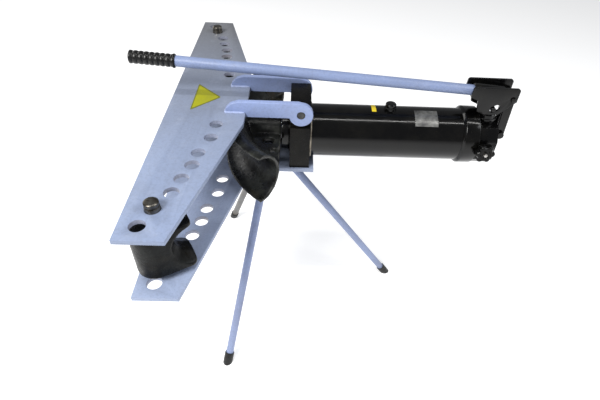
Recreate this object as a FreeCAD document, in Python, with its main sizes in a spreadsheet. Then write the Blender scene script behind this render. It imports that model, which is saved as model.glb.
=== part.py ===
import FreeCAD, Part
import math
import os

import Sketcher

# Hinged-top hydraulic pipe bender: two wing plates, a hand-pumped ram with a bending
# former, two swivel support shoes on standing pins, and a tripod.
# Frame: +Z up, origin on the floor under the middle of the machine, +X towards the
# pump, and the ram pushes the former towards -X. All sizes in mm.

DOC = FreeCAD.newDocument("pipe_bender")
SHEET = DOC.addObject("Spreadsheet::Sheet", "Sizes")

DRIVING_SIZES = {
    # heights and the reference edge
    "plate_top_z": 682.4,
    "ram_axis_z": 599.1,
    "end_edge_x": -288.1,
    # wing plates
    "plate_length": 970.8,
    "plate_thickness": 10.0,
    "plate_gap": 146.5,
    "front_reach": 89.4,
    "rear_reach": 93.7,
    "centre_half_width": 115.9,
    "pin_hole_radius": 15.1,
    "tongue_reach": 261.0,
    "tongue_half_width": 84.0,
    "tongue_step_reach": 150.0,
    "tongue_rear_half_width": 74.0,
    # hinge arms and their pins
    "hinge_x": 224.8,
    "hinge_drop": 3.3,
    "arm_inner_y": 56.6,
    "arm_thickness": 14.0,
    "arm_top": 27.5,
    "arm_eye_radius": 28.5,
    "hinge_pin_radius": 10.0,
    "running_clearance": 0.08,
    # head block
    "block_front_x": 199.0,
    "block_length": 50.0,
    "block_half_width": 69.0,
    "block_upper_half_width": 56.0,
    "block_shoulder_drop": 39.0,
    "block_top_rise": 16.0,
    # cylinder and ram
    "tube_radius": 66.5,
    "tube_wall": 6.0,
    "filler_x": 448.0,
    "cylinder_radius": 53.0,
    "bore_radius": 45.0,
    "ram_radius": 35.0,
    "ram_bore_radius": 22.0,
    "nose_radius": 25.0,
    "collar_radius": 52.0,
    "collar_front_x": 177.2,
    "former_back_x": 176.5,
    "piston_front_x": 585.0,
    "piston_length": 34.0,
    "flange_radius": 73.0,
    "flange_front_x": 628.0,
    "flange_back_x": 668.0,
    # bending former
    "bend_radius": 293.0,
    "pipe_radius": 57.5,
    "former_shell": 8.0,
    "former_half_height": 62.5,
    "former_arc": 100.0,
    "web_thickness": 14.0,
    "sleeve_radius": 38.3,
    # support pins and shoes
    "pin_radius": 14.4,
    "pin_top_radius": 13.9,
    "pin_rise": 19.0,
    "pin_collar_radius": 24.0,
    "pin_collar_height": 15.9,
    "shoe_half_height": 57.0,
    "shoe_reach": 55.0,
    "shoe_half_length": 40.0,
    "shoe_groove_radius": 36.0,
    "shoe_groove_reach": 58.0,
    "shoe_mouth_radius": 50.0,
    "shoe_mouth_depth": 28.0,
    # pump and lever
    "pump_axis_x": 693.0,
    "plunger_radius": 10.0,
    "barrel_radius": 22.0,
    "pump_block_end_x": 718.0,
    "cheek_thickness": 6.0,
    "cheek_inner_y": 22.0,
    "fulcrum_x": 734.0,
    "fulcrum_rise": 33.0,
    "plunger_pin_rise": 6.0,
    "link_foot_x": 738.0,
    "link_foot_drop": 72.0,
    "lever_pin_radius": 6.0,
    "handle_radius": 12.7,
    "handle_slope": 3.83,
    # tripod
    "leg_radius": 10.65,
    "leg_wall": 2.3,
    "foot_circle_radius": 358.6,
    "tripod_centre_x": 182.6,
    "tripod_turn": 5.0,
}


class Size:
    """A value that also knows the sheet expression it comes from."""

    def __init__(self, value, text):
        self.value = float(value)
        self.text = text

    def __add__(self, other):
        other = as_size(other)
        return Size(self.value + other.value, f"({self.text} + {other.text})")

    def __sub__(self, other):
        other = as_size(other)
        return Size(self.value - other.value, f"({self.text} - {other.text})")

    def __mul__(self, factor):
        factor = as_size(factor)
        return Size(self.value * factor.value, f"({self.text} * {factor.text})")

    def __truediv__(self, divisor):
        return Size(self.value / divisor, f"({self.text} / {divisor})")

    def __neg__(self):
        return Size(-self.value, f"(0 - {self.text})")

    def __rsub__(self, other):
        return as_size(other) - self

    __radd__ = __add__
    __rmul__ = __mul__


def as_size(number):
    """Wrap a plain number so that it can be mixed with sheet sizes."""
    if isinstance(number, Size):
        return number
    return Size(number, f"({float(number)!r})")


def fill_sheet():
    """Write every driving size to the sheet with its alias and return them as Sizes."""
    sizes = {}
    for row, (alias, value) in enumerate(DRIVING_SIZES.items(), start=1):
        SHEET.set(f"A{row}", alias)
        SHEET.set(f"B{row}", str(value))
        SHEET.setAlias(f"B{row}", alias)
        sizes[alias] = Size(value, f"Sizes.{alias}")
    DOC.recompute()
    return sizes


S = fill_sheet()
NODES = {}


# ---------------------------------------------------------------- shared places

def along_x(reach):
    """X of a place measured from the plates' end edge towards the pump."""
    return S["end_edge_x"] + reach


TOP = S["plate_top_z"]
AXIS_Z = S["ram_axis_z"]
UPPER_UNDERSIDE = TOP - S["plate_thickness"]
LOWER_TOP = UPPER_UNDERSIDE - S["plate_gap"]
LOWER_UNDERSIDE = LOWER_TOP - S["plate_thickness"]
HINGE_Z = TOP - S["hinge_drop"]
HINGE_X = along_x(S["hinge_x"])
BLOCK_FRONT = along_x(S["block_front_x"])
BLOCK_BACK = BLOCK_FRONT + S["block_length"]
SIDES = {"near": -1, "far": 1}
LEVER_PIN_HALF = S["cheek_inner_y"] + S["cheek_thickness"] + 4.0


# ---------------------------------------------------------------- modelling helpers

def origin_plane(body, role):
    """The body's own origin plane with this role."""
    for feature in body.Origin.OriginFeatures:
        if feature.Role == role:
            return feature
    raise ValueError(f"no {role} in {body.Label}")


def new_body(label):
    """An empty PartDesign body that becomes one node."""
    body = DOC.addObject("PartDesign::Body", label)
    body.Label = label
    NODES[label] = body
    return body


def new_sketch(body, role):
    """A sketch on one of the body's origin planes."""
    sketch = body.newObject("Sketcher::SketchObject", "Sketch")
    sketch.AttachmentSupport = (origin_plane(body, role), [""])
    sketch.MapMode = "FlatFace"
    return sketch


def pin_point(sketch, geometry, vertex, across, upward):
    """Hold one vertex at its two coordinates, which may be sheet sizes."""
    for kind, axis, size in (("DistanceX", -2, as_size(across)), ("DistanceY", -1, as_size(upward))):
        if abs(size.value) < 1e-9:
            sketch.addConstraint(Sketcher.Constraint("PointOnObject", geometry, vertex, axis))
            continue
        rule = Sketcher.Constraint(kind, -1, 1, geometry, vertex, size.value)
        index = sketch.addConstraint(rule)
        sketch.setExpression(f"Constraints[{index}]", size.text)


def draw_polygon(sketch, points):
    """Draw a closed outline of straight lines through the points."""
    corners = [FreeCAD.Vector(as_size(x).value, as_size(y).value, 0) for x, y in points]
    first = sketch.GeometryCount
    count = len(points)
    for index in range(count):
        line = Part.LineSegment(corners[index], corners[(index + 1) % count])
        sketch.addGeometry(line, False)
    for index in range(count):
        following = first + (index + 1) % count
        sketch.addConstraint(Sketcher.Constraint("Coincident", first + index, 2, following, 1))
    for index, (x, y) in enumerate(points):
        pin_point(sketch, first + index, 1, x, y)


def draw_circle(sketch, x, y, radius):
    """Draw a circle with its centre and radius held."""
    radius = as_size(radius)
    centre = FreeCAD.Vector(as_size(x).value, as_size(y).value, 0)
    circle = Part.Circle(centre, FreeCAD.Vector(0, 0, 1), radius.value)
    geometry = sketch.addGeometry(circle, False)
    index = sketch.addConstraint(Sketcher.Constraint("Radius", geometry, radius.value))
    sketch.setExpression(f"Constraints[{index}]", radius.text)
    pin_point(sketch, geometry, 3, x, y)


def pad(body, sketch, length):
    """Pad a sketch by this length, half to each side of its plane."""
    feature = body.newObject("PartDesign::Pad", "Pad")
    feature.Profile = sketch
    feature.Midplane = True
    feature.setExpression("Length", as_size(length).text)
    DOC.recompute()
    return feature


def cut_through(body, sketch):
    """Cut a sketch through the whole body, to both sides of its plane."""
    before = body.Shape.Volume
    feature = body.newObject("PartDesign::Pocket", "Pocket")
    feature.Profile = sketch
    feature.Midplane = True
    feature.Type = "Length"
    feature.Length = 2000
    DOC.recompute()
    if body.Shape.Volume >= before - 1e-3:
        raise RuntimeError(f"pocket cut nothing from {body.Label}")
    return feature


def place(node, x, y, z, rotation=None):
    """Stand a node at x, y, z, with the places bound to the sheet."""
    node.Placement = FreeCAD.Placement(FreeCAD.Vector(0, 0, 0), rotation or FreeCAD.Rotation())
    for axis, size in zip("xyz", (x, y, z)):
        node.setExpression(f"Placement.Base.{axis}", as_size(size).text)
    return node


TOWARDS_Z = FreeCAD.Rotation(FreeCAD.Vector(1, 0, 0), FreeCAD.Vector(0, 0, 1))
TOWARDS_Y = FreeCAD.Rotation(FreeCAD.Vector(1, 0, 0), FreeCAD.Vector(0, 1, 0))
TOWARDS_NEAR = FreeCAD.Rotation(FreeCAD.Vector(1, 0, 0), FreeCAD.Vector(0, -1, 0))


def turned(label, profile, x, y, z, rotation=None):
    """A turned piece: the outline (distance along its axis, radius) spun about local X."""
    body = new_body(label)
    sketch = new_sketch(body, "XZ_Plane")
    draw_polygon(sketch, profile)
    spin = body.newObject("PartDesign::Revolution", "Revolution")
    spin.Profile = sketch
    spin.ReferenceAxis = (sketch, ["H_Axis"])
    spin.Angle = 360
    DOC.recompute()
    return place(body, x, y, z, rotation)


def rod(label, radius, length, x, y, z, rotation=None, chamfer=1.0):
    """A plain round bar with both ends chamfered."""
    radius = as_size(radius)
    length = as_size(length)
    profile = [(0, 0), (0, radius - chamfer), (chamfer, radius), (length - chamfer, radius),
               (length, radius - chamfer), (length, 0)]
    return turned(label, profile, x, y, z, rotation)


def ring(label, inner, outer, length, x, y, z, rotation=None):
    """A plain sleeve or ring."""
    profile = [(0, inner), (0, outer), (length, outer), (length, inner)]
    return turned(label, profile, x, y, z, rotation)


def slab(label, role, outline, thickness, x, y, z, holes=()):
    """A flat piece: an outline on an origin plane, padded both ways, with round holes."""
    body = new_body(label)
    sketch = new_sketch(body, role)
    draw_polygon(sketch, outline)
    pad(body, sketch, thickness)
    if holes:
        cutter = new_sketch(body, role)
        for across, upward, radius in holes:
            draw_circle(cutter, across, upward, radius)
        cut_through(body, cutter)
    return place(body, x, y, z)


def round_edges(body, radius, wanted):
    """Fillet the edges of the body's tip whose middle point satisfies a test."""
    base = body.Tip
    names = []
    for number, edge in enumerate(base.Shape.Edges, start=1):
        middle = edge.valueAt((edge.FirstParameter + edge.LastParameter) / 2)
        if wanted(edge, middle):
            names.append(f"Edge{number}")
    feature = body.newObject("PartDesign::Fillet", "Fillet")
    feature.Base = (base, names)
    feature.setExpression("Radius", as_size(radius).text)
    DOC.recompute()
    return feature


def is_upright(edge):
    """True for a straight edge along Z."""
    ends = edge.Vertexes
    if len(ends) != 2:
        return False
    step = ends[1].Point - ends[0].Point
    return math.hypot(step.x, step.y) < 1e-6 and abs(step.z) > 1


def group(label, members):
    """Join identical loose pieces into one node of separate solids."""
    compound = DOC.addObject("Part::Compound", label)
    compound.Label = label
    compound.Links = members
    for member in members:
        del NODES[member.Label]
    NODES[label] = compound
    return compound


# ---------------------------------------------------------------- wing plates

# Eight pin holes down each wing: (reach from the end edge, distance from the ram's plane)
PIN_HOLES = [(33.5, 121.8), (29.8, 175.4), (12.6, 232.3), (7.5, 274.4),
             (-4.8, 318.3), (-15.0, 360.3), (-38.0, 406.8), (-53.8, 450.2)]
PINNED_HOLE = 6
# The head block's screws: (distance from the end edge, distance from the ram's plane)
BLOCK_SCREW_PLACES = [(x, y) for x in (212.0, 236.0) for y in (-52.0, 52.0)]
SCREW_HOLE_RADIUS = 6.2


def wing_outline(with_tongue):
    """Outline of a wing plate: straight front, short end edges, slanted rear edges."""
    half = S["plate_length"] / 2
    front = -S["front_reach"]
    rear = S["rear_reach"]
    near_side = [(front, -half), (0, -half), (rear, -S["centre_half_width"])]
    far_side = [(rear, S["centre_half_width"]), (0, half), (front, half)]
    if not with_tongue:
        return near_side + far_side
    wide, narrow = S["tongue_half_width"], S["tongue_rear_half_width"]
    step, end = S["tongue_step_reach"], S["tongue_reach"]
    tongue = [(rear, -wide), (step, -wide), (step + 10.0, -narrow), (end, -narrow),
              (end, narrow), (step + 10.0, narrow), (step, wide), (rear, wide)]
    return near_side + tongue + far_side


def make_plates():
    """The hinged upper plate and the fixed lower plate, drilled alike."""
    holes = [(reach, side * away, S["pin_hole_radius"])
             for side in SIDES.values() for reach, away in PIN_HOLES]
    middle = S["plate_thickness"] / 2
    slab("upper_plate", "XY_Plane", wing_outline(False), S["plate_thickness"],
         S["end_edge_x"], 0, TOP - middle, holes)
    screws = [(x, y, SCREW_HOLE_RADIUS) for x, y in BLOCK_SCREW_PLACES]
    slab("lower_plate", "XY_Plane", wing_outline(True), S["plate_thickness"],
         S["end_edge_x"], 0, LOWER_TOP - middle, holes + screws)


def make_hinge_arms():
    """Two upright arms welded on the upper plate, with round eyes on the hinge pins."""
    plate_rear = S["rear_reach"] - S["hinge_x"]
    weld_gap = 0.3
    on_plate = S["hinge_drop"] + weld_gap
    below = -7.7
    top = S["arm_top"] + S["hinge_drop"]
    outline = [(-177.0, on_plate), (-177.0, on_plate + 9.0), (-164.0, 25.0), (-146.0, top), (-6.0, top),
               (6.0, 27.5), (6.0, -12.0), (-24.0, below), (plate_rear + weld_gap, below),
               (plate_rear + weld_gap, on_plate)]
    pins = []
    for side, sign in SIDES.items():
        body = new_body(f"hinge_arm_{side}")
        sketch = new_sketch(body, "XZ_Plane")
        draw_polygon(sketch, outline)
        pad(body, sketch, S["arm_thickness"])
        eye = new_sketch(body, "XZ_Plane")
        draw_circle(eye, 0, 0, S["arm_eye_radius"])
        pad(body, eye, S["arm_thickness"])
        bore = new_sketch(body, "XZ_Plane")
        draw_circle(bore, 0, 0, S["hinge_pin_radius"] + S["running_clearance"])
        cut_through(body, bore)
        place(body, HINGE_X, (S["arm_inner_y"] + S["arm_thickness"] / 2) * sign, HINGE_Z)
        turn = TOWARDS_Y if sign > 0 else TOWARDS_NEAR
        pins.append(rod(f"hinge_pin_{side}", S["hinge_pin_radius"], 40.0, HINGE_X, 30.0 * sign,
                        HINGE_Z, turn))
    group("hinge_pins", pins)


def make_warning_label():
    """A thin triangular hazard sticker on the upper plate, pointing at the pump."""
    thickness = 0.5
    outline = [(-36.0, -64.0), (28.0, 0), (-36.0, 64.0)]
    slab("warning_label", "XY_Plane", outline, thickness, S["end_edge_x"], 0, TOP + thickness / 2)


# ---------------------------------------------------------------- head block and cylinder

def make_head_block():
    """The block that carries the cylinder, the ram's gland and the hinge pins."""
    body = new_body("head_block")
    low = LOWER_TOP - AXIS_Z
    shoulder = TOP - S["block_shoulder_drop"] - AXIS_Z
    top = TOP + S["block_top_rise"] - AXIS_Z
    wide = S["block_half_width"]
    narrow = S["block_upper_half_width"]
    outline = [(-wide, low), (wide, low), (wide, shoulder), (narrow, shoulder), (narrow, top),
               (-narrow, top), (-narrow, shoulder), (-wide, shoulder)]
    sketch = new_sketch(body, "YZ_Plane")
    draw_polygon(sketch, outline)
    pad(body, sketch, S["block_length"])
    bore = new_sketch(body, "YZ_Plane")
    draw_circle(bore, 0, 0, 42.0)
    cut_through(body, bore)
    hinge = new_sketch(body, "XZ_Plane")
    middle = S["block_front_x"] + S["block_length"] / 2
    draw_circle(hinge, S["hinge_x"] - middle, HINGE_Z - AXIS_Z, S["hinge_pin_radius"])
    cut_through(body, hinge)
    screws = new_sketch(body, "XY_Plane")
    for x, y in BLOCK_SCREW_PLACES:
        draw_circle(screws, x - middle, y, SCREW_HOLE_RADIUS)
    taps = body.newObject("PartDesign::Pocket", "Pocket")
    taps.Profile = screws
    taps.Type = "ThroughAll"
    DOC.recompute()
    place(body, along_x(middle), 0, AXIS_Z)


def make_block_screws():
    """Four cap screws up through the lower plate into the head block."""
    head, shank = 9.0, 46.0
    head_radius = 10.0
    shank_radius = SCREW_HOLE_RADIUS - 0.05
    profile = [(0, 0), (0, head_radius - 1.0), (1.0, head_radius), (head, head_radius),
               (head, shank_radius), (head + shank, shank_radius), (head + shank, 0)]
    members = []
    for number, (x, y) in enumerate(BLOCK_SCREW_PLACES):
        members.append(turned(f"block_screw_{number}", profile, along_x(x), y,
                              LOWER_UNDERSIDE - head, TOWARDS_Z))
    group("block_screws", members)


def make_cylinder():
    """Outer oil tube, inner pressure cylinder, gland and rear flange, all on the ram axis."""
    outer = S["tube_radius"]
    length = S["flange_front_x"] - S["block_front_x"] - S["block_length"]
    tube = ring("reservoir_tube", outer - S["tube_wall"], outer, length, BLOCK_BACK, 0, AXIS_Z)
    opening = tube.newObject("PartDesign::SubtractiveCylinder", "FillerOpening")
    opening.Radius = 15
    opening.Height = 60
    reach = S["filler_x"] - S["block_front_x"] - S["block_length"]
    opening.Placement = FreeCAD.Placement(FreeCAD.Vector(reach.value, 0, 30), FreeCAD.Rotation())
    DOC.recompute()
    ring("weld_bead", outer, outer + 2.5, 4.0, BLOCK_BACK, 0, AXIS_Z)
    ring("pressure_cylinder", S["bore_radius"], S["cylinder_radius"], length, BLOCK_BACK, 0, AXIS_Z)
    chamfer = 6.0
    flange_length = S["flange_back_x"] - S["flange_front_x"]
    profile = [(0, 0), (0, S["flange_radius"] - chamfer), (chamfer, S["flange_radius"]),
               (flange_length, S["flange_radius"]), (flange_length, 0)]
    turned("rear_flange", profile, along_x(S["flange_front_x"]), 0, AXIS_Z)
    gap = S["running_clearance"]
    ram = S["ram_radius"]
    collar_length = S["block_front_x"] - S["collar_front_x"]
    collar = [(0, 40.0), (0, S["collar_radius"] - 2.0), (2.0, S["collar_radius"]),
              (collar_length, S["collar_radius"]), (collar_length, 40.0)]
    turned("gland_collar", collar, along_x(S["collar_front_x"]), 0, AXIS_Z)
    ring("wiper_ring", ram + gap, 40.0, 8.0, along_x(S["collar_front_x"]), 0, AXIS_Z)
    ring("gland_bush", ram + gap, 42.0, 30.0, BLOCK_FRONT, 0, AXIS_Z)
    ring("gland_seal", ram + gap, 42.0, 8.0, BLOCK_FRONT + 32.0, 0, AXIS_Z)


def make_ram():
    """Hollow ram with a stepped nose, its piston and the piston's ring."""
    nose_length = 62.0
    shoulder = S["former_back_x"]
    start = shoulder - nose_length
    end = S["piston_front_x"] + S["piston_length"] - start
    step = as_size(nose_length)
    wall = 24.0
    profile = [(0, 0), (0, S["nose_radius"] - 3.0), (3.0, S["nose_radius"]), (step, S["nose_radius"]),
               (step, S["ram_radius"]), (end, S["ram_radius"]), (end, S["ram_bore_radius"]),
               (step + wall, S["ram_bore_radius"]), (step + wall, 0)]
    turned("ram", profile, along_x(start), 0, AXIS_Z)
    bore = S["bore_radius"] - S["running_clearance"]
    groove_start, groove_end = 12.0, 22.0
    deep = S["bore_radius"] - 5.0
    piston = [(0, S["ram_radius"]), (0, bore), (groove_start, bore), (groove_start, deep),
              (groove_end, deep), (groove_end, bore), (S["piston_length"], bore),
              (S["piston_length"], S["ram_radius"])]
    front = along_x(S["piston_front_x"])
    turned("piston", piston, front, 0, AXIS_Z)
    ring("piston_seal", deep, S["bore_radius"] - S["running_clearance"] / 2, groove_end - groove_start,
         front + groove_start, 0, AXIS_Z)
    spring_front = shoulder + wall + 6.0
    spring_length = S["flange_front_x"] - spring_front - 1.0
    ring("return_spring", 12.0, 18.0, spring_length, along_x(spring_front), 0, AXIS_Z)
    rod("spring_anchor", 5.0, 40.0, along_x(S["flange_front_x"] - 40.0), 0, AXIS_Z)


def make_labels():
    """A blank name plate and a small coloured dot sticker wrapped on the oil tube."""
    for label, start, length, first, last in (("name_plate", 507.0, 57.0, 4.0, 45.0),
                                              ("colour_mark", 401.0, 11.0, -18.0, 12.0)):
        skin = S["tube_radius"].value
        outer = Part.makeCylinder(skin + 0.6, length, FreeCAD.Vector(0, 0, 0),
                                  FreeCAD.Vector(1, 0, 0), last - first)
        inner = Part.makeCylinder(skin, length, FreeCAD.Vector(0, 0, 0), FreeCAD.Vector(1, 0, 0), 360)
        piece = DOC.addObject("Part::Feature", label)
        piece.Label = label
        piece.Shape = outer.cut(inner).Solids[0]
        middle = piece.Shape.CenterOfMass
        now = math.degrees(math.atan2(-middle.y, middle.z))
        wanted = (first + last) / 2
        turn = FreeCAD.Rotation(FreeCAD.Vector(1, 0, 0), wanted - now)
        NODES[label] = piece
        place(piece, along_x(start), 0, AXIS_Z, turn)


# ---------------------------------------------------------------- bending former

def draw_shell_section(sketch, centre_x, radius, half_height):
    """Half-round section, open side towards -X, cut off flat above and below."""
    level = math.asin(half_height.value / radius.value)
    lip_x = -centre_x.value + radius.value * math.cos(level)
    high = half_height.value
    upper, lower = FreeCAD.Vector(lip_x, high, 0), FreeCAD.Vector(lip_x, -high, 0)
    front_upper = FreeCAD.Vector(-centre_x.value, high, 0)
    front_lower = FreeCAD.Vector(-centre_x.value, -high, 0)
    circle = Part.Circle(FreeCAD.Vector(-centre_x.value, 0, 0), FreeCAD.Vector(0, 0, 1), radius.value)
    sketch.addGeometry(Part.ArcOfCircle(circle, -level, level), False)
    for start, end in ((upper, front_upper), (front_upper, front_lower), (front_lower, lower)):
        sketch.addGeometry(Part.LineSegment(start, end), False)
    for first, first_end, second, second_end in ((0, 2, 1, 1), (1, 2, 2, 1), (2, 2, 3, 1), (3, 2, 0, 1)):
        sketch.addConstraint(Sketcher.Constraint("Coincident", first, first_end, second, second_end))
    index = sketch.addConstraint(Sketcher.Constraint("Radius", 0, radius.value))
    sketch.setExpression(f"Constraints[{index}]", radius.text)
    pin_point(sketch, 0, 3, -centre_x, 0)
    pin_point(sketch, 2, 1, -centre_x, half_height)
    pin_point(sketch, 2, 2, -centre_x, -half_height)
    sketch.addConstraint(Sketcher.Constraint("Horizontal", 1))
    sketch.addConstraint(Sketcher.Constraint("Horizontal", 3))


def make_former():
    """Cast former: a C-shaped groove along an arc, a flat web and a socket for the ram."""
    body = new_body("former")
    outer = S["bend_radius"]
    groove = S["pipe_radius"]
    high = S["former_half_height"]
    back = outer - groove - S["former_shell"]
    sketch = new_sketch(body, "XZ_Plane")
    draw_shell_section(sketch, outer, groove + S["former_shell"], high)
    sweep = body.newObject("PartDesign::Revolution", "Revolution")
    sweep.Profile = sketch
    sweep.ReferenceAxis = (sketch, ["V_Axis"])
    sweep.Midplane = True
    sweep.setExpression("Angle", S["former_arc"].text)
    DOC.recompute()
    half_arc = math.radians(S["former_arc"].value / 2)
    web_radius = back.value + 4.0
    web = new_sketch(body, "XY_Plane")
    chord_x = web_radius * math.cos(half_arc)
    chord_y = web_radius * math.sin(half_arc)
    circle = Part.Circle(FreeCAD.Vector(0, 0, 0), FreeCAD.Vector(0, 0, 1), web_radius)
    web.addGeometry(Part.ArcOfCircle(circle, math.pi - half_arc, math.pi + half_arc), False)
    web.addGeometry(Part.LineSegment(FreeCAD.Vector(-chord_x, -chord_y, 0),
                                     FreeCAD.Vector(-chord_x, chord_y, 0)), False)
    web.addConstraint(Sketcher.Constraint("Coincident", 0, 3, -1, 1))
    web.addConstraint(Sketcher.Constraint("Coincident", 0, 2, 1, 1))
    web.addConstraint(Sketcher.Constraint("Coincident", 1, 2, 0, 1))
    web.addConstraint(Sketcher.Constraint("Vertical", 1))
    pad(body, web, S["web_thickness"])
    sleeve = body.newObject("PartDesign::AdditiveCylinder", "Sleeve")
    sleeve.setExpression("Radius", S["sleeve_radius"].text)
    centre_x = outer + 32.0
    sleeve_back = S["former_back_x"] - centre_x
    sleeve_front = -back - 4.0
    sleeve.setExpression("Height", (sleeve_back - sleeve_front).text)
    sleeve.Placement = FreeCAD.Placement(FreeCAD.Vector(sleeve_front.value, 0, 0),
                                         FreeCAD.Rotation(FreeCAD.Vector(0, 1, 0), 90))
    DOC.recompute()
    socket = body.newObject("PartDesign::SubtractiveCylinder", "Socket")
    socket.setExpression("Radius", (S["nose_radius"] + 0.1).text)
    socket_depth = 63.0
    socket.Height = socket_depth + 10.0
    socket.Placement = FreeCAD.Placement(FreeCAD.Vector(sleeve_back.value - socket_depth, 0, 0),
                                         FreeCAD.Rotation(FreeCAD.Vector(0, 1, 0), 90))
    DOC.recompute()
    channel = new_sketch(body, "XZ_Plane")
    draw_circle(channel, -outer, 0, groove)
    cut = body.newObject("PartDesign::Groove", "Groove")
    cut.Profile = channel
    cut.ReferenceAxis = (channel, ["V_Axis"])
    cut.Midplane = True
    cut.Angle = 180
    before = body.Shape.Volume
    DOC.recompute()
    if body.Shape.Volume >= before:
        raise RuntimeError("the pipe groove cut nothing")
    holes = new_sketch(body, "XY_Plane")
    for sign in SIDES.values():
        draw_circle(holes, as_size(147.0) - centre_x, 66.0 * sign, 14.0)
        draw_circle(holes, as_size(159.0) - centre_x, 107.0 * sign, 8.0)
    cut_through(body, holes)
    place(body, along_x(centre_x), 0, AXIS_Z)


# ---------------------------------------------------------------- supports

def flare_groove(shoe):
    """Widen both ends of a shoe's groove into a conical mouth."""
    inner = S["shoe_half_length"] - S["shoe_mouth_depth"]
    for end, sign in SIDES.items():
        mouth = shoe.newObject("PartDesign::SubtractiveCone", f"Mouth_{end}")
        mouth.setExpression("Radius1", S["shoe_groove_radius"].text)
        mouth.setExpression("Radius2", S["shoe_mouth_radius"].text)
        mouth.setExpression("Height", S["shoe_mouth_depth"].text)
        base = FreeCAD.Vector(S["shoe_groove_reach"].value, inner.value * sign, 0)
        mouth.Placement = FreeCAD.Placement(base, FreeCAD.Rotation(FreeCAD.Vector(1, 0, 0), -90 * sign))
        DOC.recompute()


def make_supports():
    """A standing pin with a collar and a swivel shoe on each wing."""
    reach, away = PIN_HOLES[PINNED_HOLE]
    for side, sign in SIDES.items():
        bottom = LOWER_UNDERSIDE - 6.0
        collar_low = LOWER_TOP - bottom
        collar_high = collar_low + S["pin_collar_height"]
        neck = TOP + 8.0 - bottom
        top = TOP + S["pin_rise"] - bottom
        shank = S["pin_radius"]
        profile = [(0, 0), (0, shank - 1.5), (1.5, shank), (collar_low, shank),
                   (collar_low, S["pin_collar_radius"]), (collar_high, S["pin_collar_radius"]),
                   (collar_high, shank), (neck, shank), (neck, S["pin_top_radius"] - 1.0),
                   (neck + 1.5, S["pin_top_radius"] - 1.0), (neck + 2.5, S["pin_top_radius"]),
                   (top - 2.0, S["pin_top_radius"]), (top, S["pin_top_radius"] - 2.5), (top, 0)]
        turned(f"support_pin_{side}", profile, along_x(reach), away * sign, bottom, TOWARDS_Z)

        shoe = new_body(f"support_shoe_{side}")
        sketch = new_sketch(shoe, "XY_Plane")
        long, half = S["shoe_reach"], S["shoe_half_length"]
        draw_polygon(sketch, [(-long, -half), (long, -half), (long, half), (-long, half)])
        pad(shoe, sketch, S["shoe_half_height"] * 2)
        round_edges(shoe, 38.0, lambda edge, middle: is_upright(edge) and middle.x < 0)
        round_edges(shoe, 14.0, lambda edge, middle: is_upright(edge) and middle.x > 50)
        channel = new_sketch(shoe, "XZ_Plane")
        draw_circle(channel, S["shoe_groove_reach"], 0, S["shoe_groove_radius"])
        cut_through(shoe, channel)
        flare_groove(shoe)
        bore = new_sketch(shoe, "XY_Plane")
        draw_circle(bore, 0, 0, S["pin_radius"] + S["running_clearance"])
        cut_through(shoe, bore)
        turn = FreeCAD.Rotation(FreeCAD.Vector(0, 0, 1), -31.0 * sign)
        place(shoe, along_x(reach), away * sign, AXIS_Z, turn)


# ---------------------------------------------------------------- pump

def make_pump_block():
    """Cast block behind the flange with the pump bore, release bore and link lug."""
    start = S["flange_back_x"]
    length = S["pump_block_end_x"] - start
    middle = start + length / 2
    body = new_body("pump_block")
    sketch = new_sketch(body, "YZ_Plane")
    draw_polygon(sketch, [(-34, -62), (34, -62), (60, -36), (60, 15), (42, 46), (-42, 46), (-60, 15),
                          (-60, -36)])
    pad(body, sketch, length)
    lug = new_sketch(body, "XZ_Plane")
    foot_x = S["link_foot_x"] - middle
    foot_z = TOP - S["link_foot_drop"] - AXIS_Z
    draw_polygon(lug, [(0, foot_z + 15.0), (foot_x, foot_z + 15.0), (foot_x, foot_z - 15.0),
                       (0, foot_z - 25.0)])
    pad(body, lug, 16.0)
    nose = new_sketch(body, "XZ_Plane")
    draw_circle(nose, foot_x, foot_z, 15.0)
    pad(body, nose, 16.0)
    eye = new_sketch(body, "XZ_Plane")
    draw_circle(eye, foot_x, foot_z, S["lever_pin_radius"])
    cut_through(body, eye)
    well = body.newObject("PartDesign::SubtractiveCylinder", "PumpWell")
    well.setExpression("Radius", S["barrel_radius"].text)
    well.Height = 100
    well.Placement = FreeCAD.Placement(FreeCAD.Vector((S["pump_axis_x"] - middle).value, 0, 18.0),
                                       FreeCAD.Rotation())
    DOC.recompute()
    release = body.newObject("PartDesign::SubtractiveCylinder", "ReleaseBore")
    release.Radius = 8
    release.Height = 60
    release.Placement = FreeCAD.Placement(FreeCAD.Vector((as_size(682.0) - middle).value, -30, 0),
                                          FreeCAD.Rotation(FreeCAD.Vector(1, 0, 0), 90))
    DOC.recompute()
    oilway = body.newObject("PartDesign::SubtractiveCylinder", "OilWay")
    oilway.Radius = 6
    oilway.Height = 48
    oilway.Placement = FreeCAD.Placement(FreeCAD.Vector((S["pump_axis_x"] - middle).value, 0, -29.0),
                                         FreeCAD.Rotation())
    DOC.recompute()
    place(body, along_x(middle), 0, AXIS_Z)


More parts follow.
